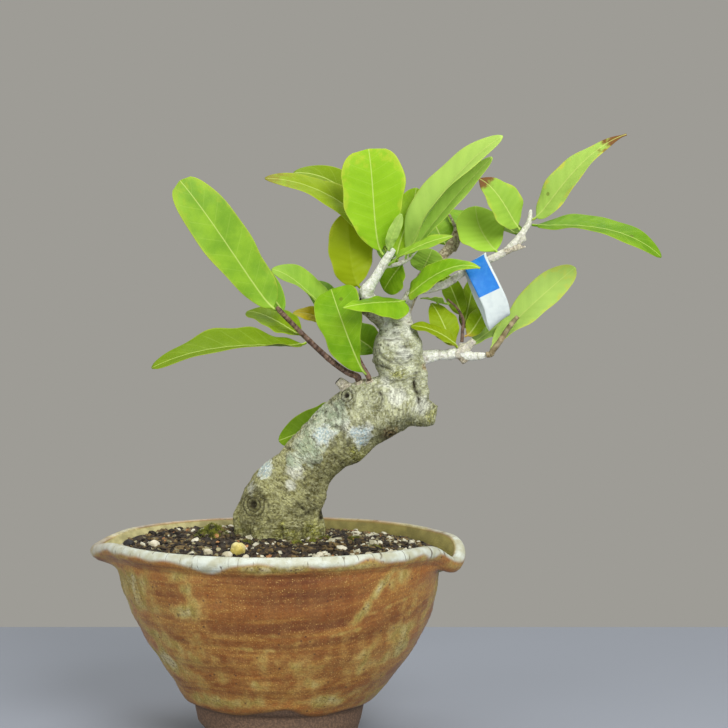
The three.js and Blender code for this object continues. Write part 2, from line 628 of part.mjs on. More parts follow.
const finishes = {
  glaze: { color: 0xa8683c, roughness: 0.45 },
  soil: { color: 0x2e2620, roughness: 0.95 },
  bark: { color: 0x9a917c, roughness: 0.85 },
  youngBark: { color: 0x4d3026, roughness: 0.7 },
  leaf: { color: 0x86b52e, roughness: 0.5 },
  band: { color: 0xe8eef2, roughness: 0.35 },
  screen: { color: 0x2b3a2e, roughness: 0.6 },
};

const tree = new THREE.Group();
tree.position.set(-boxMiddle.x, -boxMiddle.y, 0);

function place(name, geometry, finish) {
  const material = new THREE.MeshStandardMaterial({ metalness: 0, ...finishes[finish] });
  const mesh = new THREE.Mesh(geometry, material);
  mesh.name = name;
  tree.add(mesh);
  return mesh;
}

place('pot', makePot(), 'glaze');
place('soil', makeSoil(), 'soil');
place('trunk', makeTrunk(), 'bark');
place('shoot_left', limbSkin(shootPoints(shoots.leftShoot)), 'youngBark');
place('shoot_inner', limbSkin(shootPoints(shoots.innerShoot)), 'youngBark');
place('shoot_low', limbSkin(shootPoints(shoots.lowShoot)), 'youngBark');
place('shoot_dark', limbSkin(shootPoints(shoots.darkShoot)), 'youngBark');
Object.entries(leaves).forEach(([name, leaf], order) => place(name, makeLeaf(leaf, order), 'leaf'));
place('name_band', makeLabel(), 'band');
['left', 'right'].forEach((side, k) => {
  place(`drain_screen_${side}`, makeScreen(), 'screen')
    .position.set(1 + (k * 2 - 1) * (drainSpacing / 2), 0, potFloorTop + 0.5 + seatGap);
});

const model = new THREE.Group();
model.name = 'star_magnolia_bonsai';
model.add(tree);
export default model;
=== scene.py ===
import math
import random

import bmesh
import bpy
from mathutils import Euler, Matrix, Vector, noise
from mathutils.kdtree import KDTree


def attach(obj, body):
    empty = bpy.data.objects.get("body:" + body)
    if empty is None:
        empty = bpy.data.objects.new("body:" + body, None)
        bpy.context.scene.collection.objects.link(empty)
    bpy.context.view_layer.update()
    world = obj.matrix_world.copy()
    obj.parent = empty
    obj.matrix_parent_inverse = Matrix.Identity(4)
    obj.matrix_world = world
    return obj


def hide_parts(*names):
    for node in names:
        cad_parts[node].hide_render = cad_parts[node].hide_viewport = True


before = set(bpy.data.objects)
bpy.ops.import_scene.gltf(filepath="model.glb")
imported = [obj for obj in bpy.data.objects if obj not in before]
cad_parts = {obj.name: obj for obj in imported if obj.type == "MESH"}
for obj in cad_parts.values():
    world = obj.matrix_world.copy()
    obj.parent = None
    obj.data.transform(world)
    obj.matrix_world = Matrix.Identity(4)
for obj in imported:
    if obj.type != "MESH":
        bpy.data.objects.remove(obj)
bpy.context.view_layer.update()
scene = bpy.context.scene
print("frame loaded")

# The tree is laid out in millimetres from the middle of the pot's foot, as its solids are
boxMiddle = 54
toPart = Matrix.Scale(0.001, 4) @ Matrix.Translation((-boxMiddle, 0, 0))


def mix(a, b, t):
    return a + (b - a) * t


def smooth(low, high, x):
    t = min(1, max(0, (x - low) / (high - low)))
    return t * t * (3 - 2 * t)


def bell(x, middle, spread):
    return math.exp(-(((x - middle) / spread) ** 2))


def turnBell(turn, middle, spread):
    off = (turn - middle + math.pi) % (2 * math.pi) - math.pi
    return math.exp(-((off / spread) ** 2))


def paint(*shown):  # a colour as a screen shows it, 0 to 255, made linear for the shaders
    return tuple(((c / 255 + 0.055) / 1.055) ** 2.4 if c > 10 else c / 255 / 12.92 for c in shown)


def alongTable(table, x):  # straight lines between the rows of a table of (x, y, ...)
    for low, high in zip(table, table[1:]):
        if x <= high[0]:
            t = max(0, (x - low[0]) / (high[0] - low[0]))
            return [mix(a, b, t) for a, b in zip(low[1:], high[1:])]
    return list(table[-1][1:])


def curvePoint(points, t, closed=False):  # a smooth curve through points
    count = len(points)
    place = t * (count if closed else count - 1)
    k = math.floor(place) if closed else min(math.floor(place), count - 2)
    w = place - k

    def pick(i):
        if closed:
            return points[i % count]
        if i < 0:
            return 2 * points[0] - points[1]
        if i >= count:
            return 2 * points[-1] - points[-2]
        return points[i]

    before, start, end, after = (pick(k + i) for i in (-1, 0, 1, 2))
    return (start * (2 * w ** 3 - 3 * w ** 2 + 1) + end * (3 * w ** 2 - 2 * w ** 3)
            + (end - before) * 0.5 * (w ** 3 - 2 * w ** 2 + w) + (after - start) * 0.5 * (w ** 3 - w ** 2))


def curveAhead(points, t, closed=False):
    step = 0.0001
    low, high = (t - step, t + step) if closed else (max(0, t - step), min(1, t + step))
    return (curvePoint(points, high, closed) - curvePoint(points, low, closed)).normalized()


def radiusAt(points, t):
    place = t * (len(points) - 1)
    k = min(math.floor(place), len(points) - 2)
    return mix(points[k][3], points[k + 1][3], place - k)


def spineOf(points):
    return [Vector(p[:3]) for p in points]


def lengthOf(spine):
    return sum((b - a).length for a, b in zip(spine, spine[1:]))


def tubeFrames(points, steps, swell=None):  # where each ring of a tube sits, and its size
    spine = spineOf(points)
    across = Vector((0, 1, 0))
    frames = []
    for j in range(steps + 1):
        t = j / steps
        ahead = curveAhead(spine, t)
        across = (across - ahead * across.dot(ahead)).normalized()
        r = radiusAt(points, t) * (swell(t) if swell else 1)
        place = Matrix((across * r, ahead.cross(across) * r, ahead * r)).transposed().to_4x4()
        place.translation = curvePoint(spine, t)
        frames.append(place)
    return frames


def growTube(bm, frames, sides, layer=None):  # a disc pushed on from frame to frame
    cap = bmesh.ops.create_circle(bm, cap_ends=True, radius=1, segments=sides,
                                  matrix=frames[0])["verts"][0].link_faces[0]
    for k, (before, after) in enumerate(zip(frames, frames[1:])):
        grown = bmesh.ops.extrude_face_region(bm, geom=[cap])["geom"]
        cap = next(part for part in grown if isinstance(part, bmesh.types.BMFace))
        bmesh.ops.transform(bm, matrix=after @ before.inverted(), verts=cap.verts)
        if layer:
            for vert in cap.verts:
                vert[layer] = (k + 1) / (len(frames) - 1)


def newObject(name, data):
    made = bpy.data.objects.new(name, data)
    scene.collection.objects.link(made)
    return made


def meshOf(name, bm):
    mesh = bpy.data.meshes.new(name)
    bm.to_mesh(mesh)
    bm.free()
    return mesh


def floatLayers(bm, names):
    return {name: bm.verts.layers.float.new(name) for name in names}


def newGrid(rows, columns, names):  # a flat sheet with a UV map and a value layer for each name
    bm = bmesh.new()
    bm.loops.layers.uv.new("UVMap")
    bmesh.ops.create_grid(bm, x_segments=rows, y_segments=columns, size=1, calc_uvs=True)
    return bm, floatLayers(bm, names)


def turned(rows, sides):  # a chain of (radius, height) spun round the upright axis
    bm = bmesh.new()
    chain = [bm.verts.new((r, 0, z)) for r, z in rows]
    edges = [bm.edges.new(pair) for pair in zip(chain, chain[1:])]
    bmesh.ops.spin(bm, geom=chain + edges, axis=(0, 0, 1), cent=(0, 0, 0), angle=2 * math.pi, steps=sides,
                   use_merge=True, use_duplicate=False)
    bmesh.ops.remove_doubles(bm, verts=bm.verts, dist=0.02)
    return bm


def makePiece(name, bm, material, nodes=(), flat=False):
    bmesh.ops.transform(bm, matrix=toPart, verts=bm.verts)
    return dress(name, meshOf(name, bm), material, nodes, flat)


def dress(name, mesh, material, nodes=(), flat=False):
    mesh.materials.clear()
    mesh.materials.append(material)
    if not flat:
        mesh.shade_smooth()
    piece = newObject(name, mesh)
    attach(piece, "root")
    if nodes:
        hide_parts(*nodes)
    return piece


def finishedMesh(mesh, kind, **values):  # runs a modifier on a mesh and gives the result
    holder = newObject("holder", mesh)
    modifier = holder.modifiers.new(kind, kind)
    for key, value in values.items():
        setattr(modifier, key, value)
    result = bpy.data.meshes.new_from_object(holder.evaluated_get(bpy.context.evaluated_depsgraph_get()))
    bpy.data.objects.remove(holder)
    return result


# Shader nodes. Patterns are in millimetres, on Object coordinates.
class Value:  # what a socket gives, with the sums that the shaders do on it
    def __init__(self, socket):
        self.socket, self.tree = socket, socket.id_data

    def math(self, operation, other=0.0):
        return addNode(self.tree, "Math", {0: self, 1: other}, operation=operation)

    def __mul__(self, other):
        return self.math("MULTIPLY", other)

    def __add__(self, other):
        return self.math("ADD", other)

    def __sub__(self, other):
        return self.math("SUBTRACT", other)

    def __rsub__(self, other):
        return addNode(self.tree, "Math", {0: other, 1: self}, operation="SUBTRACT")

    def __rtruediv__(self, other):
        return addNode(self.tree, "Math", {0: other, 1: self}, operation="DIVIDE")

    def orMore(self, other):
        return self.math("MAXIMUM", other)

    def vector(self, operation, other):
        return addNode(self.tree, "VectorMath", {0: self, 1: other}, operation=operation)

    def ramp(self, low, high, start=0, end=1):
        values = {"Value": self, "From Min": low, "From Max": high, "To Min": start, "To Max": end}
        return addNode(self.tree, "MapRange", values, interpolation_type="SMOOTHSTEP")

    def blend(self, a, b):  # from one colour to another
        a, b = (c if isinstance(c, Value) else (*c, 1) for c in (a, b))
        return addNode(self.tree, "Mix", {0: self, 6: a, 7: b}, 2, data_type="RGBA")

    def through(self, group, *numbers):  # the pattern of a group at this place
        node = self.tree.nodes.new("ShaderNodeGroup")
        node.node_tree = group
        for socket, value in zip(node.inputs, (self, *numbers)):
            connect(value, socket)
        return Value(node.outputs[0])


def connect(value, socket):
    if isinstance(value, Value):
        value.tree.links.new(value.socket, socket)
    else:
        socket.default_value = value


def addNode(tree, kind, inputs, output=0, **settings):
    node = tree.nodes.new("ShaderNode" + kind)
    for key, value in settings.items():
        setattr(node, key, value)
    for key, value in inputs.items():
        connect(value, node.inputs[key])
    return Value(node.outputs[output])


def layers(colour, *coats):  # colours laid over one another, each with its share
    for share, coat in coats:
        colour = share.blend(colour, coat)
    return colour


def readValues(tree, *names):
    return [addNode(tree, "Attribute", {}, "Fac", attribute_name=name) for name in names]


def readVector(tree, name):
    return addNode(tree, "Attribute", {}, "Vector", attribute_name=name)


def newGroup(name, **numbers):
    tree = bpy.data.node_groups.new(name, "ShaderNodeTree")
    tree.interface.new_socket("Vector", in_out="INPUT", socket_type="NodeSocketVector")
    for label, number in numbers.items():
        tree.interface.new_socket(label, in_out="INPUT", socket_type="NodeSocketFloat").default_value = number
    tree.interface.new_socket("Mask", in_out="OUTPUT", socket_type="NodeSocketFloat")
    ins = [Value(socket) for socket in tree.nodes.new("NodeGroupInput").outputs if socket.name]
    return tree, ins, tree.nodes.new("NodeGroupOutput").inputs["Mask"]


def mottleGroup():  # soft patches, from a noise cut at two levels
    tree, (place, size, low, high, detail), mask = newGroup("mottle", Size=10, Low=0.4, High=0.6, Detail=3)
    cloud = addNode(tree, "TexNoise", {"Vector": place, "Scale": 1.0 / size, "Detail": detail})
    connect(cloud.ramp(low, high), mask)
    return tree


def speckGroup():  # scattered round specks, in some of the cells only
    tree, (place, size, share), mask = newGroup("specks", Size=1, Share=0.3)
    cells = addNode(tree, "TexVoronoi", {"Vector": place, "Scale": 1.0 / size}, "Distance")
    pick = addNode(tree, "SeparateColor", {0: Value(cells.socket.node.outputs["Color"])})
    connect(cells.ramp(0.12, 0.4, 1, 0) * pick.math("LESS_THAN", share), mask)
    return tree


def fissureGroup():  # thin dark cracks between cells that a noise has bent
    tree, (place, size, bend, width), mask = newGroup("fissures", Size=4, Bend=1.5, Width=0.08)
    wander = addNode(tree, "TexNoise", {"Vector": place, "Scale": 0.35, "Detail": 3}, "Color")
    shift = wander.vector("SUBTRACT", (0.5, 0.5, 0.5))
    bent = addNode(tree, "VectorMath", {0: shift, "Scale": bend}, operation="SCALE")
    bentPlace = place.vector("ADD", bent)
    cells = addNode(tree, "TexVoronoi", {"Vector": bentPlace, "Scale": 1.0 / size}, "Distance",
                    feature="DISTANCE_TO_EDGE")
    connect(cells.ramp(0, width, 1, 0), mask)
    return tree


mottle = mottleGroup()
specks = speckGroup()
fissures = fissureGroup()


def newMaterial(name):
    material = bpy.data.materials.new(name)
    material.use_nodes = True
    tree = material.node_tree
    place = addNode(tree, "TexCoord", {}, "Object")
    return material, tree, addNode(tree, "VectorMath", {0: place, "Scale": 1000}, operation="SCALE")


def finish(material, colour, rough, specular, relief, strength, distance):
    tree = material.node_tree
    shader = tree.nodes["Principled BSDF"].inputs
    connect(colour, shader["Base Color"])
    connect(rough, shader["Roughness"])
    shader["Specular IOR Level"].default_value = specular
    bump = addNode(tree, "Bump", {"Height": relief, "Strength": strength, "Distance": distance})
    connect(bump, shader["Normal"])
    return material


# The pot, thrown on a wheel and pulled out at both ends of the rim
pot = {
    "rimHalfWidth": 98, "rimHalfDepth": 81, "recess": 14, "floorTop": 30, "sides": 256,
    "rowHeight": 0.8, "drainRadius": 6, "drainSpacing": 44,
    "outline": [(0, 44, 1), (10, 47, 1), (19, 48.8, 1), (21.5, 53, 1), (26, 57.2, 1.6), (31, 60.8, 2.4),
                (38, 66, 3), (46, 71.5, 3.4), (53, 76.2, 3.3), (60, 80, 3.2), (72, 85.3, 2.8), (84, 89, 1.6),
                (95, 91.6, 1), (103, 93.6, 0.5), (106, 95.6, 0.2)],
    "lip": [(106.5, 96.5), (108.6, 97.8), (110.5, 98), (112.4, 97.2), (113.6, 95.9), (114, 94.2),
            (113.5, 92.3), (112, 91.2), (109, 90), (106, 89)],
    "inside": [(103, 88), (95, 86.5), (84, 84), (60, 75), (42, 61), (33, 51), (30, 46)],
    "ridge": 0.1, "ridgeSpacing": 3.3, "step": 0.22, "lump": 0.7, "climb": 0.003, "glazeThickness": 0.5,
    "glazeEdge": 22.4, "creamEdge": 110.2, "archTurns": (-48, 72, 192), "archHalfWidth": 17,
    "archHeight": 9.35, "wallTop": 106.2, "lipLow": 104, "lipInner": 88.5,
    "endDrops": [(-0.17, 0.17, 10), (math.pi, 0.21, 4.5)],  # turn, spread, how far the rim drops
    "endPulls": [(-0.05, 0.25, 9), (math.pi, 0.21, 8.5)],  # turn, spread, how far it is pulled out
}
# Where the cream of the rim runs down: turn, spread, drop
creamRuns = [
    (-1.93, 0.14, 4.6), (-1.3, 0.26, 1.2), (-1.64, 0.1, -1.2), (-1.02, 0.07, -1.6), (-0.75, 0.12, 1.4),
    (-0.48, 0.06, 2.2), (-0.05, 0.3, -1.0), (3.05, 0.24, 4), (0.9, 0.2, 3), (2.2, 0.15, 4),
]
# Where ash settled and ran, and where the iron is dark, on the front:
# x, height, reach each way, slant and strength
ashPatches = [
    (-92, 74, 20, 34, 0, 0.95), (-60, 50, 24, 16, 0.3, 0.9), (-72, 98, 8, 12, 0, 0.7),
    (-78, 98, 3, 11, 0, 1.0), (-46, 82, 9, 21, 0.04, 0.8), (-60, 70, 2.5, 20, 0.05, 0.6),
    (-30, 29, 45, 6, 0.08, 0.6), (44, 30, 36, 8, -0.05, 0.8), (55, 90, 3.6, 21, 0.72, 0.8),
    (53, 58, 3.5, 15, 0.5, 0.75), (58, 52, 19, 15, 0.2, 0.65), (-66, 68, 22, 28, 0, 0.62),
    (84, 70, 14, 30, 0, 0.55), (0, 53, 62, 11, 0, 0.42), (-80, 92, 8, 14, 0, 0.85), (0, 40, 72, 8, 0, 0.5),
    (88, 66, 7, 30, 0.1, 0.5), (0, 108, 110, 3, 0, 0.8), (70, 98, 9, 8, 0.4, 0.55),
    (40, 71, 34, 1.8, 0.2, 0.5), (-14, 62, 30, 1.6, -0.04, 0.45), (72, 58, 14, 24, 0.1, 0.7),
    (0, 38, 62, 6, 0, 0.4), (-78, 84, 12, 26, 0, 0.7), (66, 84, 22, 1.6, 0.3, 0.45),
    (-30, 46, 34, 3, -0.03, 0.45), (-58, 101, 22, 5, 0, 0.7), (4, 70, 44, 1.4, 0.03, 0.4),
    (-62, 74, 16, 14, 0, 0.6),
]
darkBands = [
    (12, 101, 40, 5, 0.02, 0.95), (14, 92, 42, 9, 0.03, 1.0), (16, 91, 46, 12, 0.03, 0.7),
    (-50, 90, 12, 9, 0, 0.75), (14, 75, 50, 3.4, 0.06, 1.0), (22, 65, 46, 2.4, 0.1, 0.8),
    (44, 55, 36, 3, 0.2, 0.8), (-6, 55, 30, 2.2, 0.02, 0.6), (66, 78, 14, 8, 0.2, 0.7),
    (18, 45, 40, 2.4, 0.08, 0.65), (0, 36, 40, 2, 0.02, 0.4),
]


def turnSum(bumps, turn):  # bumps of turn, spread and height round the pot
    return sum(high * turnBell(turn, middle, spread) for middle, spread, high in bumps)


def endDrop(turn):
    return turnSum(pot["endDrops"], turn)


def rimPull(turn, z):
    near = smooth(96, 106, z)
    return near * turnSum(pot["endPulls"], turn), near * endDrop(turn)


def driftAt(z):
    return alongTable([(row[0], row[2]) for row in pot["outline"]] + [(107, 0)], z)[0]


def depthShare(z):
    return mix(0.93, pot["rimHalfDepth"] / pot["rimHalfWidth"], smooth(0, 70, z))


def glazeEdge(turn):  # the height at which the glaze stops over the bare foot
    lobes = 1.2 * math.sin(3 * turn + 0.4) + 0.7 * math.sin(7 * turn + 1.1)
    return pot["glazeEdge"] + lobes - 2.6 * turnBell(turn, -1.95, 0.26) - 2.8 * turnBell(turn, -1.05, 0.26) \
        + 2.6 * turnBell(turn, -1.45, 0.14)


def lipEdge(turn):  # the height at which the cream of the rim runs out over the wall
    edge = pot["creamEdge"] - turnSum(creamRuns, turn)
    return edge + 0.45 * math.sin(17 * turn) + 0.35 * math.sin(31 * turn + 1)


def patchSum(patches, x, z):
    total = 0
    for px, pz, wide, tall, slant, strength in patches:
        dx, dz = x - px, z - pz
        dx, dz = (dx, dz - slant * dx) if wide > tall else (dx - slant * dz, dz)
        total = max(total, strength * math.exp(-((dx / wide) ** 2) - (dz / tall) ** 2))
    return total


def potProfile():
    rows = [(0.001, pot["recess"]), (12, pot["recess"]), (24, pot["recess"]), (33, pot["recess"]),
            (35.4, pot["recess"] - 0.6), (36, pot["recess"] - 2), (36, 7), (36, 1.2), (36.5, 0.3), (37.4, 0),
            (39.5, 0), (42, 0), (43, 0.5)]
    z = 1.2
    while z < 106:
        rows.append((alongTable(pot["outline"], z)[0], z))
        z += pot["rowHeight"]
    lip = [Vector((r, z, 0)) for z, r in pot["lip"]]
    rows += [curvePoint(lip, k / 30)[:2] for k in range(31)]
    inside = [Vector((r, z, 0)) for z, r in pot["inside"]]
    rows += [curvePoint(inside, k / 44)[:2] for k in range(45)]
    rows += [(38, pot["floorTop"]), (26, pot["floorTop"]), (12, pot["floorTop"]), (0.001, pot["floorTop"])]
    return rows


def makePot(material):
    bm = turned(potProfile(), pot["sides"])
    layer = floatLayers(bm, ["cover", "lip", "ashAndInnerShade", "dark", "inside", "level"])
    layer["around"] = bm.verts.layers.float_vector.new("around")
    for vert in bm.verts:
        shapePot(vert, layer)
    bmesh.ops.recalc_face_normals(bm, faces=bm.faces)
    cut = cutMesh(meshOf("pot", bm), potCutter())
    cut.transform(toPart)
    return dress("pot_body", cut, material, ["pot"])


def potCutter():  # the drain holes and the three arches of the foot
    cutter = bmesh.new()
    for side in (-1, 1):
        spot = Matrix.Translation((1 + side * pot["drainSpacing"] / 2, 0, pot["floorTop"] - 8))
        bmesh.ops.create_cone(cutter, cap_ends=True, segments=40, radius1=pot["drainRadius"],
                              radius2=pot["drainRadius"], depth=30, matrix=spot)
    half = pot["archHalfWidth"]
    for degrees in pot["archTurns"]:
        turn = Matrix.Rotation(math.radians(degrees), 4, "Z") @ Matrix.Translation((45, 0, 0))
        flatter = Matrix.Diagonal((1, 1, pot["archHeight"] / half, 1))
        shape = turn @ flatter @ Matrix.Rotation(math.pi / 2, 4, "Y")
        bmesh.ops.create_cone(cutter, cap_ends=True, segments=56, radius1=half, radius2=half, depth=40,
                              matrix=shape)
    return cutter


def cutMesh(mesh, cutter):
    tool = newObject("cutter", meshOf("cutter", cutter))
    cut = finishedMesh(mesh, "BOOLEAN", object=tool, operation="DIFFERENCE", solver="MANIFOLD")
    bpy.data.objects.remove(tool)
    return cut


def thrownLevel(x, z):  # the rings that the hand left climb a little to the right
    return z - pot["climb"] * max(0, x - 5) ** 2


def wallRelief(radius, turn, z, where):  # the steps, ridges and lumps that the hands left
    phase = 2 * math.pi * (z / pot["ridgeSpacing"] + turn / (2 * math.pi) + 0.9 * noise.noise(where * 1.3))
    step = pot["step"] * math.sin(thrownLevel(radius * math.cos(turn), z) * 0.42 + turn)
    ridge = pot["ridge"] * math.sin(phase) * (0.6 + 0.8 * noise.noise(where * 2.1))
    walls = smooth(24, 34, z) * (1 - smooth(101, 105, z))
    return walls * (step + ridge + pot["lump"] * noise.noise(where * 0.9))


def creamShare(radius, turn, z, outer):
    onTop = radius > 93.6 or outer
    share = smooth(-1.5, 1.1, z - lipEdge(turn)) if onTop else smooth(91.6, 93.2, radius)
    return share * (1 - 0.5 * smooth(-0.1, 0.6, math.sin(turn)) - 0.4 * turnBell(turn, math.pi, 0.3))


def glazePatches(x, y, z, turn, where):  # ash and dark iron: placed in front, left to chance behind
    cloud = noise.noise(where * 1.1 + Vector((3, 3, 3)))
    wave = noise.noise(Vector((math.cos(turn), math.sin(turn), z / 9)))
    spread = 0.5 + 0.7 * smooth(-0.3, 0.35, noise.noise(where * 2.4 + Vector((0, 5, 0))))
    rearAsh = max(0.85 * smooth(0.05, 0.4, cloud), 0.4 * bell(z, 28, 7), 0.6 * bell(z, 108, 3))
    rearDark = 0.8 * smooth(-0.1, 0.3, wave) + 0.3 * bell(z, 84, 7)
    rear = smooth(-34, 6, y)
    return (mix(patchSum(ashPatches, x, z) * spread, rearAsh, rear),
            mix(patchSum(darkBands, x, z), rearDark, rear))


def shapePot(vert, layer):
    radius, z = math.hypot(vert.co.x, vert.co.y), vert.co.z
    turn = math.atan2(vert.co.y, vert.co.x)
    outer = z < pot["wallTop"] and radius > alongTable(pot["outline"], z)[0] - 2.5
    onLip = z > pot["lipLow"] and radius > pot["lipInner"]
    out, down = rimPull(turn, z)
    where = Vector((math.cos(turn) * 2.2, math.sin(turn) * 2.2, z / 26))
    relief, cover = 0, 1.0
    if outer:
        above = z - glazeEdge(turn)
        cover = smooth(-0.5, 0.5, above) if z > 12 else 0
        relief = wallRelief(radius, turn, z, where)
        relief += cover * pot["glazeThickness"] * (1 + 0.9 * bell(above, 1.6, 1.4)) * (1 - smooth(98, 104, z))
    cream = creamShare(radius, turn, z, outer) if outer or onLip else 0
    if onLip:
        around = Vector((math.cos(turn) * 9, math.sin(turn) * 9, z / 5))
        relief += 0.3 + 0.3 * noise.noise(around) + 0.2 * cream
    bare = z < 15 or (radius < 44 and z < 20)
    across = radius + relief + out
    along = (radius + relief) * depthShare(z)
    if not outer and not onLip and z < pot["floorTop"] + 0.5:
        across, along = radius, radius * depthShare(z)
    x = driftAt(z) + across * math.cos(turn)
    y = along * math.sin(turn)
    inside = 0 if outer else (1 - smooth(91, 92.8, radius) if onLip else 1)
    ashAndInnerShade, dark = glazePatches(x, y, z, turn, where)
    vert[layer["lip"]] = cream
    vert[layer["cover"]] = 0 if bare else cover
    # inside, pale on the left and darker on the right: glaze colour and painted shade
    vert[layer["ashAndInnerShade"]] = 1 - smooth(-70, 10, x) if inside > 0.5 else ashAndInnerShade
    vert[layer["dark"]] = dark
    vert[layer["inside"]] = inside
    vert[layer["level"]] = thrownLevel(x, z)
    vert[layer["around"]] = (98 * math.cos(turn), 98 * math.sin(turn), 0)
    vert.co = (x, y, z - down)


def potMaterial():
    material, tree, place = newMaterial("potGlaze")
    cover, lip, ashAndInnerShade, dark, inside, level = readValues(tree, "cover", "lip", "ashAndInnerShade", "dark", "inside", "level")
    around = readVector(tree, "around")
    thrown = around.vector("MULTIPLY", (0.1, 0.1, 0)).vector("ADD", addNode(tree, "CombineXYZ", {2: level}))
    bands = thrown.through(mottle, 11, 0.38, 0.62, 2)
    lines = thrown.through(mottle, 2.6, 0.46, 0.62, 3)
    streaks = place.vector("MULTIPLY", (1, 1, 0.22)).through(mottle, 5, 0.36, 0.66, 4)
    grain = place.through(mottle, 1.1, 0.42, 0.62, 2)
    edge = place.through(mottle, 6, 0.3, 0.7, 5)
    fleck = place.through(specks, 1.1, 0.7)
    pits = place.through(specks, 2.4, 0.06)
    settled = ashAndInnerShade * 1.5 + edge * 0.5
    ashMask = settled.ramp(0.72, 1.5)
    crawl = place.vector("MULTIPLY", (0.6, 0.6, 1.6)).through(fissures, 3, 2.2, 0.1)
    crawl = crawl * (ashAndInnerShade.ramp(0.55, 0.9) * grain)
    warm = layers(bands.blend(paint(158, 100, 46), paint(132, 80, 36)),
                  (dark * edge.ramp(0, 0.6, 0.7, 1), paint(104, 56, 30)),
                  (settled.ramp(0.35, 1.2), paint(176, 138, 72)),
                  (lines * dark.ramp(0, 0.8, 0.42, 0.1), paint(182, 136, 64)))
    ashTone = layers(streaks.blend(paint(156, 138, 70), paint(188, 174, 108)),
                     (ashAndInnerShade.ramp(0.65, 1) * streaks, paint(198, 190, 150)))
    crosswise = around.vector("ADD", place.vector("MULTIPLY", (0.15, 0.15, 0.15)))
    crackle = place.through(mottle, 7, 0.44, 0.58, 2).ramp(0, 1, 0.05, 0.9)
    crackle = crosswise.through(fissures, 11, 4, 0.03) * crackle
    cream = layers(edge.blend(paint(212, 219, 208), paint(184, 184, 158)), (crackle, paint(92, 76, 58)))
    # inner wall: paler on the left and darker on the right, partly painted shade, with darker blotches
    inner = layers(ashAndInnerShade.blend(paint(158, 148, 84), paint(202, 194, 140)), (edge * 0.5, paint(104, 98, 56)))
    glaze = layers(ashMask.blend(warm, ashTone), (streaks * 0.12, paint(184, 146, 88)),
                   (fleck * lines.ramp(0, 1, 0.3, 0.7), paint(212, 170, 98)),
                   (grain * 0.3, paint(92, 60, 34)), (pits * 0.7, paint(78, 54, 40)),
                   (crawl * 0.8, paint(84, 62, 38)), (inside, inner), (lip, cream))
    colour = cover.blend(grain.blend(paint(98, 78, 64), paint(124, 98, 78)), glaze)
    fine = addNode(tree, "TexNoise", {"Vector": place, "Scale": 0.9, "Detail": 4})
    height = fleck * 0.35 + fine * 0.9 - crackle * lip * 0.8 - pits.orMore(crawl) * 0.6
    return finish(material, colour, 0.8 - cover * 0.42 + ashMask * 0.26, 0.32, height, 0.5, 0.0004)


# The soil: a dark bed, with its larger grains as pieces of their own
soil = {"edgeHeight": 107, "mound": 5, "edgeHalf": 86, "bottom": 95, "sides": 180, "rings": 58,
        "trunkMiddle": (2, 11), "trunkHalf": (21, 17), "leftHeap": 3.6, "endSpread": 5.5,
        "mossHeap": (-37, 2, 7, 6)}  # x, y, spread and rise
# right is how much a kind keeps to the right half
soilGrains = {
    "soil_dark_grains": {"count": 1700, "size": (0.7, 2.4), "seed": 11, "flat": 0.6, "right": 0,
                         "colours": (paint(26, 21, 16), paint(62, 52, 38))},
    "soil_bark_crumbs": {"count": 90, "size": (1.8, 3.4), "seed": 16, "flat": 0.45, "right": 0,
                         "colours": (paint(30, 24, 18), paint(78, 62, 42))},
    "soil_brown_grains": {"count": 1500, "size": (0.5, 2.1), "seed": 12, "flat": 0.7, "right": 0.2,
                          "colours": (paint(72, 58, 34), paint(122, 102, 62))},
    "soil_grey_grains": {"count": 560, "size": (0.5, 1.9), "seed": 15, "flat": 0.7, "right": 0.5,
                         "colours": (paint(98, 92, 62), paint(164, 156, 120))},
    "soil_pumice": {"count": 300, "size": (0.7, 3.0), "seed": 13, "flat": 0.75, "right": 0.7,
                    "colours": (paint(172, 168, 140), paint(222, 218, 196))},
    "soil_fired_clay": {"count": 60, "size": (0.7, 1.9), "seed": 14, "flat": 0.8, "right": -0.5,
                        "colours": (paint(142, 92, 52), paint(186, 136, 86))},
}
# x, y and radius of the pebbles of each colour
pebbles = {
    "soil_pale_pebbles": {"stones": [(-36, -47, 2.3), (-25, -51, 2.5), (-15, -51, 2.0), (-68, -22, 2.6),
                                     (52, -40, 2.0), (25, -44, 1.9), (64, -30, 2.2)],
                          "colours": (paint(184, 176, 146), paint(220, 214, 192))},
    "soil_yellow_pebble": {"stones": [(-19.5, -42, 4.0)],
                           "colours": (paint(204, 186, 92), paint(232, 222, 160))},
    "soil_black_bead": {"stones": [(-84, -8, 2.8), (38, -50, 2.0)],
                        "colours": (paint(22, 20, 20), paint(48, 44, 42))},
}


def soilPlace(share, turn):  # the bed reaches further into the pulled ends of the rim
    reach = soil["edgeHalf"] * share
    reach += soil["endSpread"] * share ** 3 * (turnBell(turn, -0.05, 0.3) + turnBell(turn, math.pi, 0.3))
    return reach * math.cos(turn), reach * math.sin(turn) * depthShare(soil["edgeHeight"])


def soilTop(x, y):
    turn = math.atan2(y / depthShare(soil["edgeHeight"]), x)
    share = min(1, math.hypot(x, y / depthShare(soil["edgeHeight"])) / soil["edgeHalf"])
    rise = soil["mound"] * (1 - smooth(0.25, 1, share)) + soil["leftHeap"] * (1 - smooth(-65, 0, x))
    heapX, heapY, spread, high = soil["mossHeap"]
    rise += high * bell(x, heapX, spread) * bell(y, heapY, spread)
    lumps = 1.3 * noise.noise(Vector((x / 9, y / 9, 0))) + 0.6 * noise.noise(Vector((x / 3, y / 3, 4)))
    return soil["edgeHeight"] + rise - 0.7 * endDrop(turn) * share ** 4 + lumps * (1 - 0.5 * share ** 6)


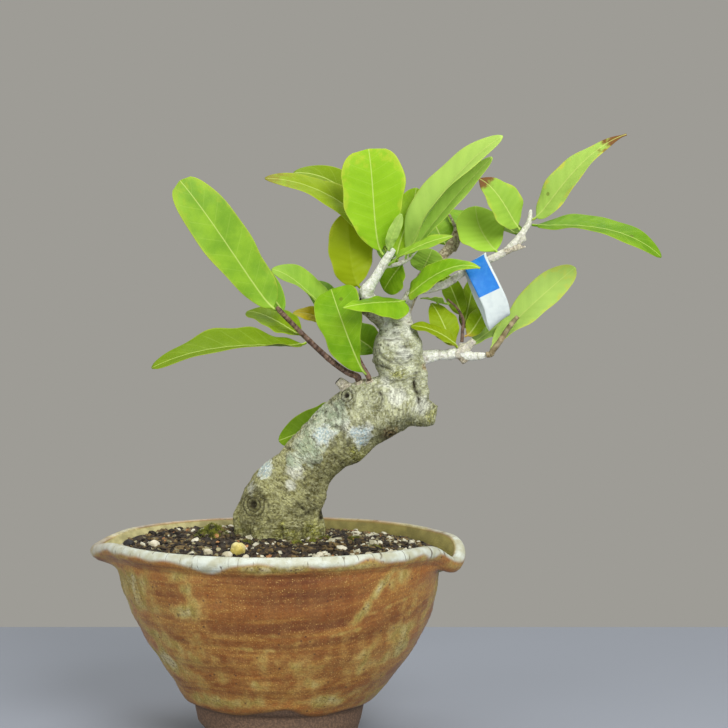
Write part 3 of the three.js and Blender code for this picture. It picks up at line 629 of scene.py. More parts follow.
def makeSoil(material):
    half = soil["edgeHalf"]
    rows = [(0.001, 0)] + [(half * k / soil["rings"], 0) for k in range(1, soil["rings"] + 1)]
    bm = turned(rows + [(half - 0.5, -6), (half - 1.5, -12), (0.001, -12)], soil["sides"])
    bmesh.ops.recalc_face_normals(bm, faces=bm.faces)
    for vert in bm.verts:
        x, y = soilPlace(math.hypot(vert.co.x, vert.co.y) / half, math.atan2(vert.co.y, vert.co.x))
        top = soilTop(x, y) + 0.5 * noise.noise(Vector((x, y, 0)) * 0.9)
        z = top if vert.co.z > -1 else max(soil["bottom"], top + vert.co.z)
        vert.co = (x + 0.5, y, z)
    return makePiece("soil_bed", bm, material, ["soil"])


def grainShapes(draw, flat):  # a few broken grains, each about 1 mm in radius
    shapes = []
    for _ in range(6):
        bm = bmesh.new()
        bmesh.ops.create_icosphere(bm, subdivisions=1, radius=1)
        for vert in bm.verts:
            vert.co += Vector([draw.uniform(-1, 1) for _ in range(3)]) * 0.24
            vert.co.z *= flat
        shapes.append(meshOf("grain", bm))
    return shapes


def addCopy(bm, shape, place):
    copy = shape.copy()
    copy.transform(place)
    bm.from_mesh(copy)
    bpy.data.meshes.remove(copy)


def scatterGrains(name, spec, material):
    draw = random.Random(spec["seed"])
    shapes = grainShapes(draw, spec["flat"])
    bm = bmesh.new()
    placed = 0
    while placed < spec["count"]:
        share = math.sqrt(draw.random()) * 0.985
        turn = draw.uniform(-math.pi, math.pi)
        x, y = soilPlace(share, turn)
        (mx, my), (hx, hy) = soil["trunkMiddle"], soil["trunkHalf"]
        if draw.random() < spec["right"] * (1 - smooth(-60, 60, x)):
            continue
        if ((x - mx) / hx) ** 2 + ((y - my) / hy) ** 2 < 1:
            continue
        size = mix(*spec["size"], draw.random() ** 2.2)
        tilt = Euler([draw.uniform(-0.6, 0.6), draw.uniform(-0.6, 0.6), draw.uniform(0, 6.28)])
        stretch = Matrix.Diagonal((size * draw.uniform(0.8, 1.35), size, size * draw.uniform(0.7, 1.1), 1))
        spot = Matrix.Translation((x + 0.5, y, soilTop(x, y) + size * 0.3 * spec["flat"]))
        addCopy(bm, draw.choice(shapes), spot @ tilt.to_matrix().to_4x4() @ stretch)
        placed += 1
    return makePiece(name, bm, material, flat=True)


def makePebbles(name, spec, material):
    bm = bmesh.new()
    for k, (x, y, size) in enumerate(spec["stones"]):
        place = Matrix.Translation((x, y, soilTop(x, y) + size * 0.6)) @ Matrix.Diagonal((1.08, 1, 0.92, 1))
        ball = bmesh.ops.create_icosphere(bm, subdivisions=4, radius=size, matrix=place)["verts"]
        for vert in ball:
            away = vert.co - place.translation
            bumps = 0.34 * noise.noise(vert.co / size * 0.9 + Vector((k * 7, 0, 0)))
            vert.co += away * (bumps + 0.1 * noise.noise(vert.co * 1.1))
    return makePiece(name, bm, material)


# x, y and spread of each tuft
moss = {
    "tufts": [(-38, 0, 6), (-34, -1, 5), (-42, 1, 4.4), (-37, -5, 4), (12, -19, 2.4), (20, -11, 2.2),
              (-16, -20, 2), (70, -30, 3), (56, -6, 3), (44, 6, 3), (26, 0, 3)],
    "blades": 170, "length": (1.0, 2.8), "width": 0.3,
}


def makeMoss(material):
    draw = random.Random(21)
    blade = bmesh.new()
    bmesh.ops.create_cone(blade, cap_ends=True, segments=4, radius1=moss["width"], radius2=0.04, depth=1,
                          matrix=Matrix.Translation((0, 0, 0.5)))
    shape = meshOf("mossBlade", blade)
    bm = bmesh.new()
    for x, y, spread in moss["tufts"]:
        for _ in range(int(moss["blades"] * spread / 3)):
            px, py = x + draw.gauss(0, spread / 2), y + draw.gauss(0, spread / 2)
            lean = Euler([draw.uniform(-0.8, 0.8), draw.uniform(-0.8, 0.8), 0]).to_matrix().to_4x4()
            tall = Matrix.Diagonal((1, 1, draw.uniform(*moss["length"]), 1))
            addCopy(bm, shape, Matrix.Translation((px, py, soilTop(px, py) + 0.1)) @ lean @ tall)
    return makePiece("soil_moss", bm, material, flat=True)


def grainMaterial(name, dark, light, size=1.2, rough=0.85, depth=0.6):
    material, tree, place = newMaterial(name)
    tone = place.through(mottle, size * 3, 0.35, 0.65, 3)
    fleck = place.through(specks, size * 0.5, 0.3)
    colour = layers(tone.blend(dark, light), (fleck * 0.35, [c * 0.45 for c in light]))
    fine = addNode(tree, "TexNoise", {"Vector": place, "Scale": 1.6 / size, "Detail": 5})
    return finish(material, colour, rough, 0.5, fine - fleck * 0.3, depth, 0.0006)


# The trunk with its limbs: x, y, z and radius along each
limbs = {
    "stem": [(0, 11.5, 98, 19), (0, 11.5, 110, 20.5), (0, 12, 121, 23.6), (2, 12, 132, 22.5),
             (7, 12, 141, 20), (14, 11, 150, 17), (20, 10, 158, 16.3), (29, 9, 167, 17), (41, 8, 177, 18),
             (51, 6, 184, 18.6), (62, 4, 188, 17.6), (75, 2, 188, 13.5), (83, 1, 185, 8.5),
             (90, 0, 183, 5.5)],
    "neck": [(73, 3, 188, 12.5), (72, 3, 200, 12.2), (71, 3, 208, 12.9), (69, 3, 216, 13.9),
             (68, 2, 224, 14), (68, 2, 230, 12), (67, 1, 235, 8), (68, 1, 238, 4.5)],
    "neckRidge": [(80, 0, 216, 3.4), (81, -1, 205, 4.4), (81, -1, 196, 5), (80, 0, 188, 6)],
    "rightRoot": [(14, 8, 127, 9), (19, 6, 118, 7.5), (20, 4, 107, 5)],
    "leftRoot": [(-14, 10, 128, 9), (-19, 8, 120, 7), (-20, 7, 107, 5)],
    "frontRoot": [(-6, 0, 126, 9), (-8, -3, 117, 7), (-8, -4, 107, 5)],
    "middleRoot": [(8, 2, 122, 9), (10, -1, 115, 7), (10, -2, 107, 5)],
    "backRoot": [(-2, 20, 126, 9), (-2, 23, 117, 7), (-2, 24, 107, 5)],
    "sideRoot": [(12, 18, 124, 8), (14, 19, 116, 6.5), (15, 19, 107, 5)],
    "cutStub": [(64, 1, 234, 6), (56, -3, 241, 4.8), (50, -5, 244, 4.2), (46, -7, 247, 3)],
    "leftTwig": [(63, 0, 234, 5), (58, -3, 244, 3.8), (51, -7, 251, 4.3), (52, -8.5, 256, 3.6),
                 (55, -10, 260, 2.9), (58, -11, 265, 2.7), (61.5, -12.5, 271, 2.6), (66, -14, 278, 2.2)],
    "sideTwig": [(61, -12, 268, 1.5), (68, -11.5, 269, 1.5), (74, -10, 272, 1.6), (80, -8, 278, 1.2)],
    "rightBranch": [(69, 1, 230, 6), (72, 1, 238, 4), (73, 0, 246, 3.4), (76, -2, 252, 3.1),
                    (81, -4, 254.5, 2.8), (88, -5, 255.5, 2.6), (96, -6, 258, 2.4), (105, -6, 264, 2.2),
                    (114, -6, 269, 2.2), (121, -6, 272, 2.3), (129, -5, 276, 2.3), (135, -4, 281, 2.2),
                    (141, -4, 284, 1.9)],
    "forkStub": [(129, -5, 276, 1.7), (136, -6, 278, 1.3), (141, -6, 279, 0.9)],
    "topTwig": [(132, -5, 279, 2.1), (136, -4, 283, 2.1), (140, -2, 288, 2), (143, 0, 293, 1.8),
                (144, 2, 300, 1.3)],
    "backBranch": [(72, 1, 240, 3.4), (78, 7, 253, 3.3), (84, 12, 263, 3.2), (89, 14, 268, 2.9),
                   (96, 18, 275, 3.1), (101, 20, 281, 3.7), (103, 22, 287, 2.4), (103, 22, 291, 1.5)],
    "thinTwig": [(103, 22, 288, 1.4), (98, 20, 298, 1), (90, 18, 304, 0.9)],
    "ringedStub": [(102, 21, 285, 2), (107, 20.5, 289, 1.9), (110, 20, 291, 1.7)],
    "lowBranch": [(74, 3, 211, 5.5), (82, 2.5, 215, 4), (90, 1, 217, 3.6), (97, 0, 217.5, 3.4),
                  (104, -2, 219, 3.1), (109, -2.5, 217, 2.7), (114, -4, 217, 2.4), (118.5, -5, 217.8, 2)],
    "lowStub": [(103, -2, 218.5, 2.7), (109, -3, 223, 2.4), (112, -4, 226, 2.2)],
    "lowKnot": [(104, -1, 218, 2.4), (107, -2, 213, 2.2)],
    "sideKnot": [(46, 4, 192, 4.2), (40, 4, 198, 3.6), (34.5, 4, 203, 2.8)],
    "backSpur": [(42, 20, 184, 4), (40, 28, 189, 1.8)],
    "neckSpur": [(62, 9, 213, 3.4), (54.5, 15, 213.5, 1.7)],
    "leftCollar": [(50, 3, 196, 4), (46.5, 0, 203, 2.5)],
    "middleCollar": [(55, 1, 196, 4), (52.5, -3, 203.5, 2)],
    "lowCollar": [(104.5, -1, 219, 2.4), (105, 0, 224.5, 1.7)],
}
thickLimbs = [
    "stem", "neck", "neckRidge", "rightRoot", "leftRoot", "frontRoot", "middleRoot", "backRoot", "sideRoot",
]
trunkFoot = {"x": 0, "y": 11, "halfWidth": 27.6, "halfDepth": 23.6, "bottom": 88.4, "top": 109}
bark = {
    "voxel": 0.75, "smoothing": 7, "lump": 1.3, "lumpSize": 10, "grain": 0.3, "wrinkleSpacing": 1.5,
    "neckFold": 0.55, "neckFoldSpacing": 3.3, "squeeze": 0.35, "grooveSqueeze": 0.08,
}
# Old cuts closed by rings of bark: middle, radius, ring spacing, and how dark the pit is,
# which also sets the painted shade laid over the scar
scars = [
    ((-13, -5, 132.5), 8.2, 2.6, 0.85), ((40, -3, 194.2), 5.6, 2.2, 1.0), ((55.3, -11, 194), 6, 2.1, 0.15),
    ((64.5, -5, 172), 4.4, 2.0, 1.0), ((-1.3, -9, 129.5), 5.5, 1.9, 0.0), ((30, 26, 172), 6, 2.1, 0.7),
    ((8, 34, 138), 7, 2.2, 0.4), ((68, 16, 222), 5, 2.0, 0.2),
]
# Patches of colour on the bark: middle and reach; the pale patches are whitish bark and painted highlights
barkMarks = {
    "paste": [((47.5, -10, 173), 7.4), ((26.5, -7, 173), 6.6), ((-7.5, 0, 153), 6.6), ((52, 24, 184), 6)],
    "lichen": [((31.9, -7, 181.5), 8.5), ((17.8, -6, 164.4), 10.5), ((25, -2, 185), 7), ((10, -5, 158), 6),
               ((22, -2, 174), 9), ((36, -4, 188), 5), ((30, 28, 160), 8)],
    "moss": [((89.2, -3, 183.5), 6), ((44.7, -7, 162.8), 7), ((19.2, -8, 117.6), 7), ((-25, -8, 118.8), 7),
             ((36, -5, 200), 5), ((68, -9, 208), 5), ((5, -14, 115), 8), ((-8, 32, 120), 9),
             ((20, 28, 150), 7)],
    # pale: whitish bark, with painted highlights where light falls on the trunk and neck
    "pale": [((68.4, -10, 195), 6.5), ((38.5, -12, 178), 4.5), ((10.4, -6, 151.9), 6), ((66, -12, 229), 7),
             ((72, -12, 219), 5), ((52, -13, 178), 3), ((-16, -6, 142), 5), ((74, -11, 232), 5),
             ((82, -5, 189), 6), ((61, -12, 203), 5), ((43.5, -10, 176), 2.6), ((8, -9, 144), 4)],
    "rust": [((64.5, -8, 172), 6), ((50, -7, 240.5), 3.5), ((84, -2, 211), 2.4)],
}
# Swellings: middle, reach and height
barkLumps = [
    ((44.5, 2, 161), 8, 3.2), ((22, 6, 131), 12, 3.2), ((19.5, -9, 116), 7, 1.6), ((-20, -8, 117), 8, 1.2),
    ((88, -2, 182), 6, 0.8),
]
# Dark grooves: half width, depth, and the points that each runs through
barkGrooves = [
    (1.0, 0.8, [(78, -6, 208.7), (78.3, -7, 199.2), (80.1, -6, 195.1), (81, -5, 187.6)]),
    (0.95, 0.6, [(55.5, -5, 212.4), (57.5, -8, 211.6), (62, -11, 210.6), (66.1, -12, 209.9)]),
    (0.75, 0.25, [(68.7, -12, 224.5), (71, -12, 223), (73, -12, 221.9), (74.3, -12, 223), (78.6, -9, 222.9)]),
    (0.75, 0.3, [(64.8, -12, 215.9), (67, -12, 215.9), (71.7, -12, 215.7), (75.6, -11, 217.2),
                 (76.1, -11, 218.9)]),
    (0.9, 0.3, [(62.3, -12, 224.1), (63.9, -12, 223.2)]),
    (0.8, 0.3, [(66.1, -12, 214.2), (69.1, -12, 214.6)]),
    (0.8, 0.3, [(64.5, -10, 231), (70.5, -10, 230.6)]), (0.8, 0.3, [(65, -8, 235.4), (70.5, -8, 235)]),
    (0.95, 0.5, [(56.3, -12, 198.2), (59.2, -12, 195.6), (59.7, -12, 191.7), (57.6, -12, 189.1)]),
    (0.95, 0.14, [(36.8, -6, 196.2), (36.8, -8, 187.9), (37.6, -8, 177.7), (38.2, -6, 167.8),
                  (38.1, 0, 155.8)]),
    (0.9, 0.5, [(40.5, -6, 158), (43.5, -7, 156.5), (48, -6, 157.5)]),
    (0.95, 0.5, [(10, -8, 136), (15, -6, 130), (20, -4, 125)]),
    (1.3, 0.9, [(23.8, -1, 129), (24, -1, 122)]),
    (0.95, 0.5, [(-21, -6, 138), (-14, -9, 141), (-7, -10, 139.5)]),
    (0.9, 0.25, [(-24, -4, 126), (-17, -9, 123), (-8, -12, 121)]),
    (1.0, 0.6, [(2, -12, 123), (4, -13, 116), (3, -13, 110)]),
    (0.95, 0.5, [(14, -9, 122), (14, -10, 115), (16, -9, 109)]),
    (0.95, 0.5, [(-14, -10, 119), (-17, -10, 112)]),
    (0.75, 0.3, [(57, -8, 221), (60, -10, 217), (66, -11, 213.5), (73, -11, 213.5), (78, -8, 216)]),
    (0.75, 0.2, [(58, -9, 228), (63, -11, 226.5), (70, -11, 227), (77, -8, 226)]),
    (0.75, 0.25, [(60, -8, 206), (66, -10, 203.5), (73, -10, 204), (78, -8, 206)]),
    (0.75, 0.2, [(64, -11, 220.5), (69, -12, 218.5), (74, -11, 220)]),
    (0.75, 0.2, [(46, -8, 187), (50, -10, 180), (57, -9, 176), (66, -7, 177)]),
    (0.95, 0.5, [(-22, -7, 131), (-19, -9, 138.5), (-11, -10, 139.5), (-5, -11, 134), (-4.5, -11, 128)]),
    (0.8, 0.15, [(-6, -11, 124), (-2, -11, 123), (1, -11, 120)]),
    (0.8, 0.4, [(30, -8, 191), (34, -9, 187), (35, -9, 181)]),
    (0.8, 0.35, [(14, -8, 158), (21, -8, 156), (27, -7, 158)]),
    (1.0, 0.6, [(12, -8, 125), (17, -7, 128), (22, -4, 131)]),
]
# How brown each twig is, from grey-white to brown
twigTint = {
    "rightBranch": 0.32, "topTwig": 0.2, "lowBranch": 0.0, "leftTwig": 0.0, "forkStub": 0.7,
    "backBranch": 0.9, "thinTwig": 0.8, "ringedStub": 1.0, "sideTwig": 0.3, "lowStub": 0.5, "lowKnot": 0.8,
    "cutStub": 1.0, "leftCollar": 0.8, "middleCollar": 0.8, "lowCollar": 0.5, "sideKnot": 0.6,
    "neckSpur": 0.5, "backSpur": 0.7,
}
whiteTips = ("topTwig", "forkStub", "leftTwig", "sideTwig")
cutEnds = ("ringedStub", "backBranch", "cutStub", "sideKnot")


def nearestIn(points):  # finds the nearest of some points, each with a note of its own
    tree = KDTree(len(points))
    for k, (place, _) in enumerate(points):
        tree.insert(place, k)
    tree.balance()

    def find(place):
        _, k, distance = tree.find(place)
        return distance, points[k][1]
    return find


def limbFinder():  # the point of any limb whose bark is nearest to a place
    finders, thin = [], []
    for name, points in limbs.items():
        spine = spineOf(points)
        length = lengthOf(spine)
        steps = max(4, int(length))
        samples = []
        for j in range(steps + 1):
            t = j / steps
            middle = curvePoint(spine, t)
            samples.append((middle, (middle, name, t * length, radiusAt(points, t), t, curveAhead(spine, t))))
        if name in thickLimbs:
            finders.append(nearestIn(samples))
        else:
            thin += samples
    finders.append(nearestIn(thin))

    def find(place):
        return min((finder(place) for finder in finders), key=lambda hit: hit[0] - hit[1][3])[1]
    return find


def squeezed(place, share=bark["squeeze"]):  # makes depth count less, for marks placed from the front
    return Vector((place[0], place[1] * share, place[2]))


def inFront(middle):  # whether a scar or mark is on the side that faces the camera
    return middle[1] < 10


def grooveFinder():
    samples = []
    for wide, deep, points in barkGrooves:
        spine = [Vector(p) for p in points]
        steps = int(lengthOf(spine) / 0.4) + 2
        for j in range(steps + 1):
            place = squeezed(curvePoint(spine, j / steps), bark["grooveSqueeze"])
            samples.append((place, (wide, deep, min(1, 5 * j / steps, 5 - 5 * j / steps))))
    return nearestIn(samples)


def makeTrunk(material):
    bm = bmesh.new()
    for name, points in limbs.items():
        thick = name in thickLimbs
        growTube(bm, tubeFrames(points, (len(points) - 1) * (5 if thick else 4)), 40 if thick else 16)
    foot = [(trunkFoot["bottom"], 1), (trunkFoot["top"], 1), (trunkFoot["top"] + 3, 0.86)]
    wide, deep = trunkFoot["halfWidth"], trunkFoot["halfDepth"]
    rings = [Matrix.Translation((trunkFoot["x"], trunkFoot["y"], z))
             @ Matrix.Diagonal((wide * s, deep * s, 1, 1)) for z, s in foot]
    growTube(bm, rings, 48)
    bmesh.ops.recalc_face_normals(bm, faces=bm.faces)
    skin = finishedMesh(meshOf("trunk", bm), "REMESH", mode="VOXEL", voxel_size=bark["voxel"])
    bm = bmesh.new()
    bm.from_mesh(skin)
    for _ in range(bark["smoothing"]):
        bmesh.ops.smooth_vert(bm, verts=bm.verts, factor=0.5, use_axis_x=True, use_axis_y=True,
                              use_axis_z=True)
    bm.normal_update()
    layer = floatLayers(bm, ["crackAndShade", "twig", "tint", "pit", "tip", "reach"] + list(barkMarks))
    offset = bm.verts.layers.float_vector.new("offset")
    find, findGroove = limbFinder(), grooveFinder()
    for vert, normal in [(v, v.normal.copy()) for v in bm.verts]:
        hit = find(vert.co)
        away = vert.co - hit[0]
        vert[layer["reach"]] = hit[2]
        vert[offset] = away - hit[5] * away.dot(hit[5])
        vert.co += normal * barkRelief(vert, normal, layer, hit, vert[offset], findGroove)
    return makePiece("trunk_bark", bm, material, ["trunk"])


def twigRelief(vert, layer, hit):
    _, limb, reach, radius, t, _ = hit
    p = vert.co
    phase = reach / 6.5 + 0.9 * noise.noise(Vector((reach / 8, len(limb), 0)))
    ring = math.exp(-((phase % 1 - 0.5) / 0.07) ** 2) * (0.4 + 0.6 * smooth(-0.3, 0.3, noise.noise(p / 4)))
    vert[layer["crackAndShade"]] = 0.55 * ring
    vert[layer["tint"]] = twigTint.get(limb, 0.1)
    vert[layer["tip"]] = smooth(0.84, 1, t) if limb in whiteTips else 0
    vert[layer["pit"]] = smooth(0.93, 1, t) if limb in cutEnds else 0
    knobs = 0.3 if twigTint.get(limb, 0) > 0.6 or limb == "lowBranch" else 0.14
    return 0.16 * ring + knobs * noise.noise(p / 1.7) * min(1, radius / 2)


def addScars(vert, layer, flat, front, relief, crackAndShade):  # rings of bark round an old cut, with a pit inside
    for middle, size, spacing, dark in scars:
        if front != inFront(middle):
            continue
        d = (flat - squeezed(middle)).length / size + 0.06 * noise.noise(vert.co / 2.5)
        if d < 1.35:
            near = 1 - smooth(0.75, 1.3, d)
            rings = math.cos(2 * math.pi * (d * size / spacing))
            relief = mix(relief, 0.5 + 0.3 * rings, near) - 1.7 * dark * (1 - smooth(0, 0.36, d))
            # dark ring lines, and painted shade over the whole of a dark scar
            crackAndShade = max(crackAndShade * (1 - near), near * smooth(0.2, 0.9, -rings) * (0.5 + 0.5 * dark),
                        0.3 * near * dark)
            vert[layer["pit"]] = max(vert[layer["pit"]], dark * (1 - smooth(0.2, 0.42, d)))
    return relief, crackAndShade


def addMarks(vert, layer, flat, front, normal):  # patches with ragged edges, and moss low down and underneath
    p = vert.co
    ragged = 0.42 * noise.noise(p / 3.2) + 0.2 * noise.noise(p / 1.3)
    for kind, places in barkMarks.items():
        for middle, size in places:
            if front == inFront(middle):
                d = (flat - squeezed(middle)).length / size + ragged
                vert[layer[kind]] = max(vert[layer[kind]], 1 - smooth(0.5, 1.1, d))
    low = 1 - smooth(106, 128, p.z + 5 * noise.noise(p / 7))
    under = smooth(0.3, 0.9, -normal.z) * 0.45
    clumps = smooth(-0.2, 0.3, noise.noise(p / 3.3 + Vector((7, 0, 0))))
    vert[layer["moss"]] = max(vert[layer["moss"]] * (0.5 + 0.5 * clumps), 0.7 * low * clumps, under * clumps)


def barkRelief(vert, normal, layer, hit, away, findGroove):
    _, limb, reach, radius, _, _ = hit
    p = vert.co
    twig = 0 if limb in thickLimbs else 1 - smooth(3.4, 5.8, radius)
    vert[layer["twig"]] = twig
    if limb not in thickLimbs:
        relief = twigRelief(vert, layer, hit)
        if twig == 1:
            return relief
    relief = bark["lump"] * noise.noise(p / bark["lumpSize"]) + 0.5 * noise.noise(p / 4.5)
    for middle, size, high in barkLumps:
        relief += high * math.exp(-(((p - Vector(middle)).length / size) ** 2))
    if limb in ("neck", "neckRidge"):
        fold = math.sin(2 * math.pi * (p.z / bark["neckFoldSpacing"] + 1.1 * noise.noise(p / 7)))
        low = 1 - smooth(212, 220, p.z)
        relief += bark["neckFold"] * (abs(fold) ** 0.6 - 0.6) * mix(0.3, 1, low)
    across = away / 6
    wrinkle = noise.noise(Vector((across.x, across.y + reach / bark["wrinkleSpacing"], across.z)))
    line = 1 - smooth(0.02, 0.10, abs(wrinkle))
    line *= smooth(-0.1, 0.25, noise.noise(p / 7 + Vector((4, 4, 4))))
    relief += bark["grain"] * wrinkle - 0.16 * line
    flat, front = squeezed(p), normal.y < 0.35
    relief, crackAndShade = addScars(vert, layer, flat, front, relief, 0.75 * line)
    if front:
        distance, (wide, deep, fade) = findGroove(squeezed(p, bark["grooveSqueeze"]))
        groove = fade * (1 - smooth(-0.1, 0.35, normal.y)) * math.exp(-((distance / wide) ** 2))
        relief -= deep * groove
        crackAndShade = max(crackAndShade, (0.4 + deep) * groove * (0.95 + 0.7 * noise.noise(p / 2.0)))
    addMarks(vert, layer, flat, front, normal)
    vert[layer["crackAndShade"]] = max(crackAndShade * (1 - 0.6 * vert[layer["paste"]]), vert[layer["crackAndShade"]])
    return relief + 0.3 * vert[layer["paste"]]


def barkMaterial():
    material, tree, place = newMaterial("trunkBark")
    crackAndShade, twig, tint, pit, tip, reach = readValues(tree, "crackAndShade", "twig", "tint", "pit", "tip", "reach")
    paste, lichen, moss, pale, rust = readValues(tree, *barkMarks)
    away = readVector(tree, "offset")
    height = addNode(tree, "SeparateXYZ", {0: place}, 2)
    tone = place.through(mottle, 7, 0.36, 0.64, 6)
    fine = place.through(mottle, 1.4, 0.42, 0.58, 4)
    flake = place.through(mottle, 1.3, 0.36, 0.64, 5)
    broad = place.through(mottle, 11, 0.38, 0.62, 3)
    wrinkle = wrinkleLines(away, reach, 0.16, 0.75, 0.05)
    hair = wrinkleLines(away, reach, 0.4, 1.5, 0.035)
    # painted highlights along the ridges between the wrinkles
    ridgeHighlights = wrinkleLines(away, reach, 0.2, 0.95, 0.06, 0.57)
    dashes = limbNoise(away, reach, 0.42, 1.1).ramp(0.58, 0.66)
    up = height.ramp(150, 212)
    base = up.blend(paint(110, 106, 60), paint(162, 164, 118))
    light = up.blend(paint(180, 178, 120), paint(218, 222, 184))
    # the lightest tone: pale flecks of the bark, and painted highlights on the ridges
    fleckAndHighlight = up.blend(paint(212, 212, 166), paint(240, 244, 222))
    ring = lichen.ramp(0.1, 0.35) * lichen.ramp(0.45, 0.7, 1, 0)
    rind = paste.ramp(0.1, 0.35) * paste.ramp(0.5, 0.8, 1, 0)
    bare = paste.ramp(0, 1, 1, 0.35)
    lines = (wrinkle * 0.6).orMore(hair * 0.22) * (bare * height.ramp(165, 215, 1, 0.7))
    stem = layers(tone.blend(base, light), (broad * 0.42, base), (fine * 0.26, fleckAndHighlight),
                  # pale patches: whitish bark and painted highlights
                  (dashes * 0.2, paint(92, 86, 48)), (pale * 0.75, paint(236, 238, 222)),
                  (moss * 0.75, fine.blend(paint(102, 104, 28), paint(176, 176, 76))),
                  (rust * 0.6, paint(150, 108, 58)),
                  (lichen * 0.85, tone.blend(paint(174, 190, 158), paint(220, 230, 208))),
                  (ring * 0.4, paint(216, 222, 200)),
                  (paste * fine.ramp(0, 1, 0.95, 0.6),
                   flake.blend(paint(168, 196, 208), paint(238, 244, 234))),
                  (rind * 0.6, paint(228, 232, 218)), (ridgeHighlights * bare * 0.5, fleckAndHighlight),
                  # dark cracks and grooves, with painted shade over the dark scars
                  (lines, paint(76, 70, 36)), (crackAndShade * 0.9, paint(46, 40, 22)))
    white = flake.blend(paint(232, 236, 212), paint(255, 255, 246))
    young = layers(tint.blend(white, fine.blend(paint(140, 120, 88), paint(206, 192, 158))),
                   (hair * 0.15, paint(120, 104, 80)), (crackAndShade * 0.8, paint(116, 92, 70)))
    colour = layers(twig.blend(stem, young), (tip * 0.7, paint(236, 236, 224)),
                    (pit * 0.92, paint(36, 28, 18)))
    relief = fine * 0.5 - lines * 1.6 - dashes * 0.5
    return finish(material, colour, fine.ramp(0, 1, 0.9, 0.75), 0.25, relief, 0.7, 0.0006)


def limbNoise(away, reach, scale, pace):  # a noise that follows the limbs
    return addNode(away.tree, "TexNoise", {"Vector": away, "W": reach * pace, "Scale": scale, "Detail": 2},
                   noise_dimensions="4D")


def wrinkleLines(away, reach, across, along, width, middle=0.5):  # thin lines that run round a limb
    level = (limbNoise(away, reach, across, along / across) - middle).math("ABSOLUTE")
    return level.ramp(0.005, width, 1, 0)


# Young brown shoots, each off the end of the limb that carries it
shoots = {
    "leftShoot": {"node": "shoot_left", "from": "leftCollar", "radius": 1.9,
                  "path": [(39, -6, 208.6, 1.7), (30, -10, 215.6, 1.6), (19, -16, 226.2, 1.5),
                           (9, -20, 236.6, 1.4), (3, -22, 243, 1.5), (1, -23, 245.5, 1)]},
    "innerShoot": {"node": "shoot_inner", "from": "middleCollar", "radius": 1.5,
                   "path": [(48, 1, 212, 1.4), (43, 4, 223, 1.3), (37, 6, 236, 1.2), (34, 6, 245, 1)]},
    "lowShoot": {"node": "shoot_low", "from": "lowBranch", "radius": 1.7, "pale": 0.75,
                 "path": [(122.5, -5.5, 220.5, 1.7), (126, -5, 225, 1.6), (132, -4, 234, 1.5),
                          (136.5, -4, 239.5, 1.2)]},
    "darkShoot": {"node": "shoot_dark", "from": "lowCollar", "radius": 1,
                  "path": [(105.5, 3, 231, 0.9), (106, 4, 237, 1), (102.5, 4, 244, 0.7), (97, 3, 249, 0.6)]},
}
seatGap = 0.35
shootStraight = 2.5


def shootPoints(shoot):
    carrier = spineOf(limbs[shoot["from"]])
    end, ahead = curvePoint(carrier, 1), curveAhead(carrier, 1)
    first = [(*(end + ahead * reach), shoot["radius"]) for reach in (seatGap, seatGap + shootStraight)]
    return first + shoot["path"]


def makeShoot(shoot, material):
    points = shootPoints(shoot)
    spine = spineOf(points)
    length = lengthOf(spine)

    def swell(t):
        return 1 + 0.09 * math.exp(-(((t * length + 2 * math.sin(t * length)) % 11 - 5.5) / 0.8) ** 2)

    bm = bmesh.new()
    layer = floatLayers(bm, ["along", "pale"])
    growTube(bm, tubeFrames(points, int(length / 0.7), swell), 20, layer["along"])
    for vert in bm.verts:
        vert[layer["along"]] *= length
        vert[layer["pale"]] = shoot.get("pale", 0)
    bmesh.ops.recalc_face_normals(bm, faces=bm.faces)
    return makePiece(shoot["node"] + "_bark", bm, material, [shoot["node"]])


def shootMaterial():
    material, tree, place = newMaterial("shootBark")
    along, pale = readValues(tree, "along", "pale")
    tone = place.through(mottle, 3, 0.35, 0.65, 4)
    dots = place.through(specks, 0.9, 0.18)
    ring = addNode(tree, "CombineXYZ", {0: along}).through(mottle, 2.2, 0.62, 0.7, 1)
    colour = layers(tone.blend(paint(80, 58, 48), paint(126, 98, 78)),
                    (pale, tone.blend(paint(138, 122, 78), paint(178, 166, 124))),
                    (dots * 0.6, paint(176, 156, 130)), (ring * 0.5, paint(150, 122, 98)))
    return finish(material, colour, 0.6, 0.5, dots + tone, 0.35, 0.0003)


def leafOn(twig, at, tip, width, face, **more):  # at is the share of the twig's length
    return {"on": twig, "at": at, "tip": tip, "width": width, "face": face, **more}
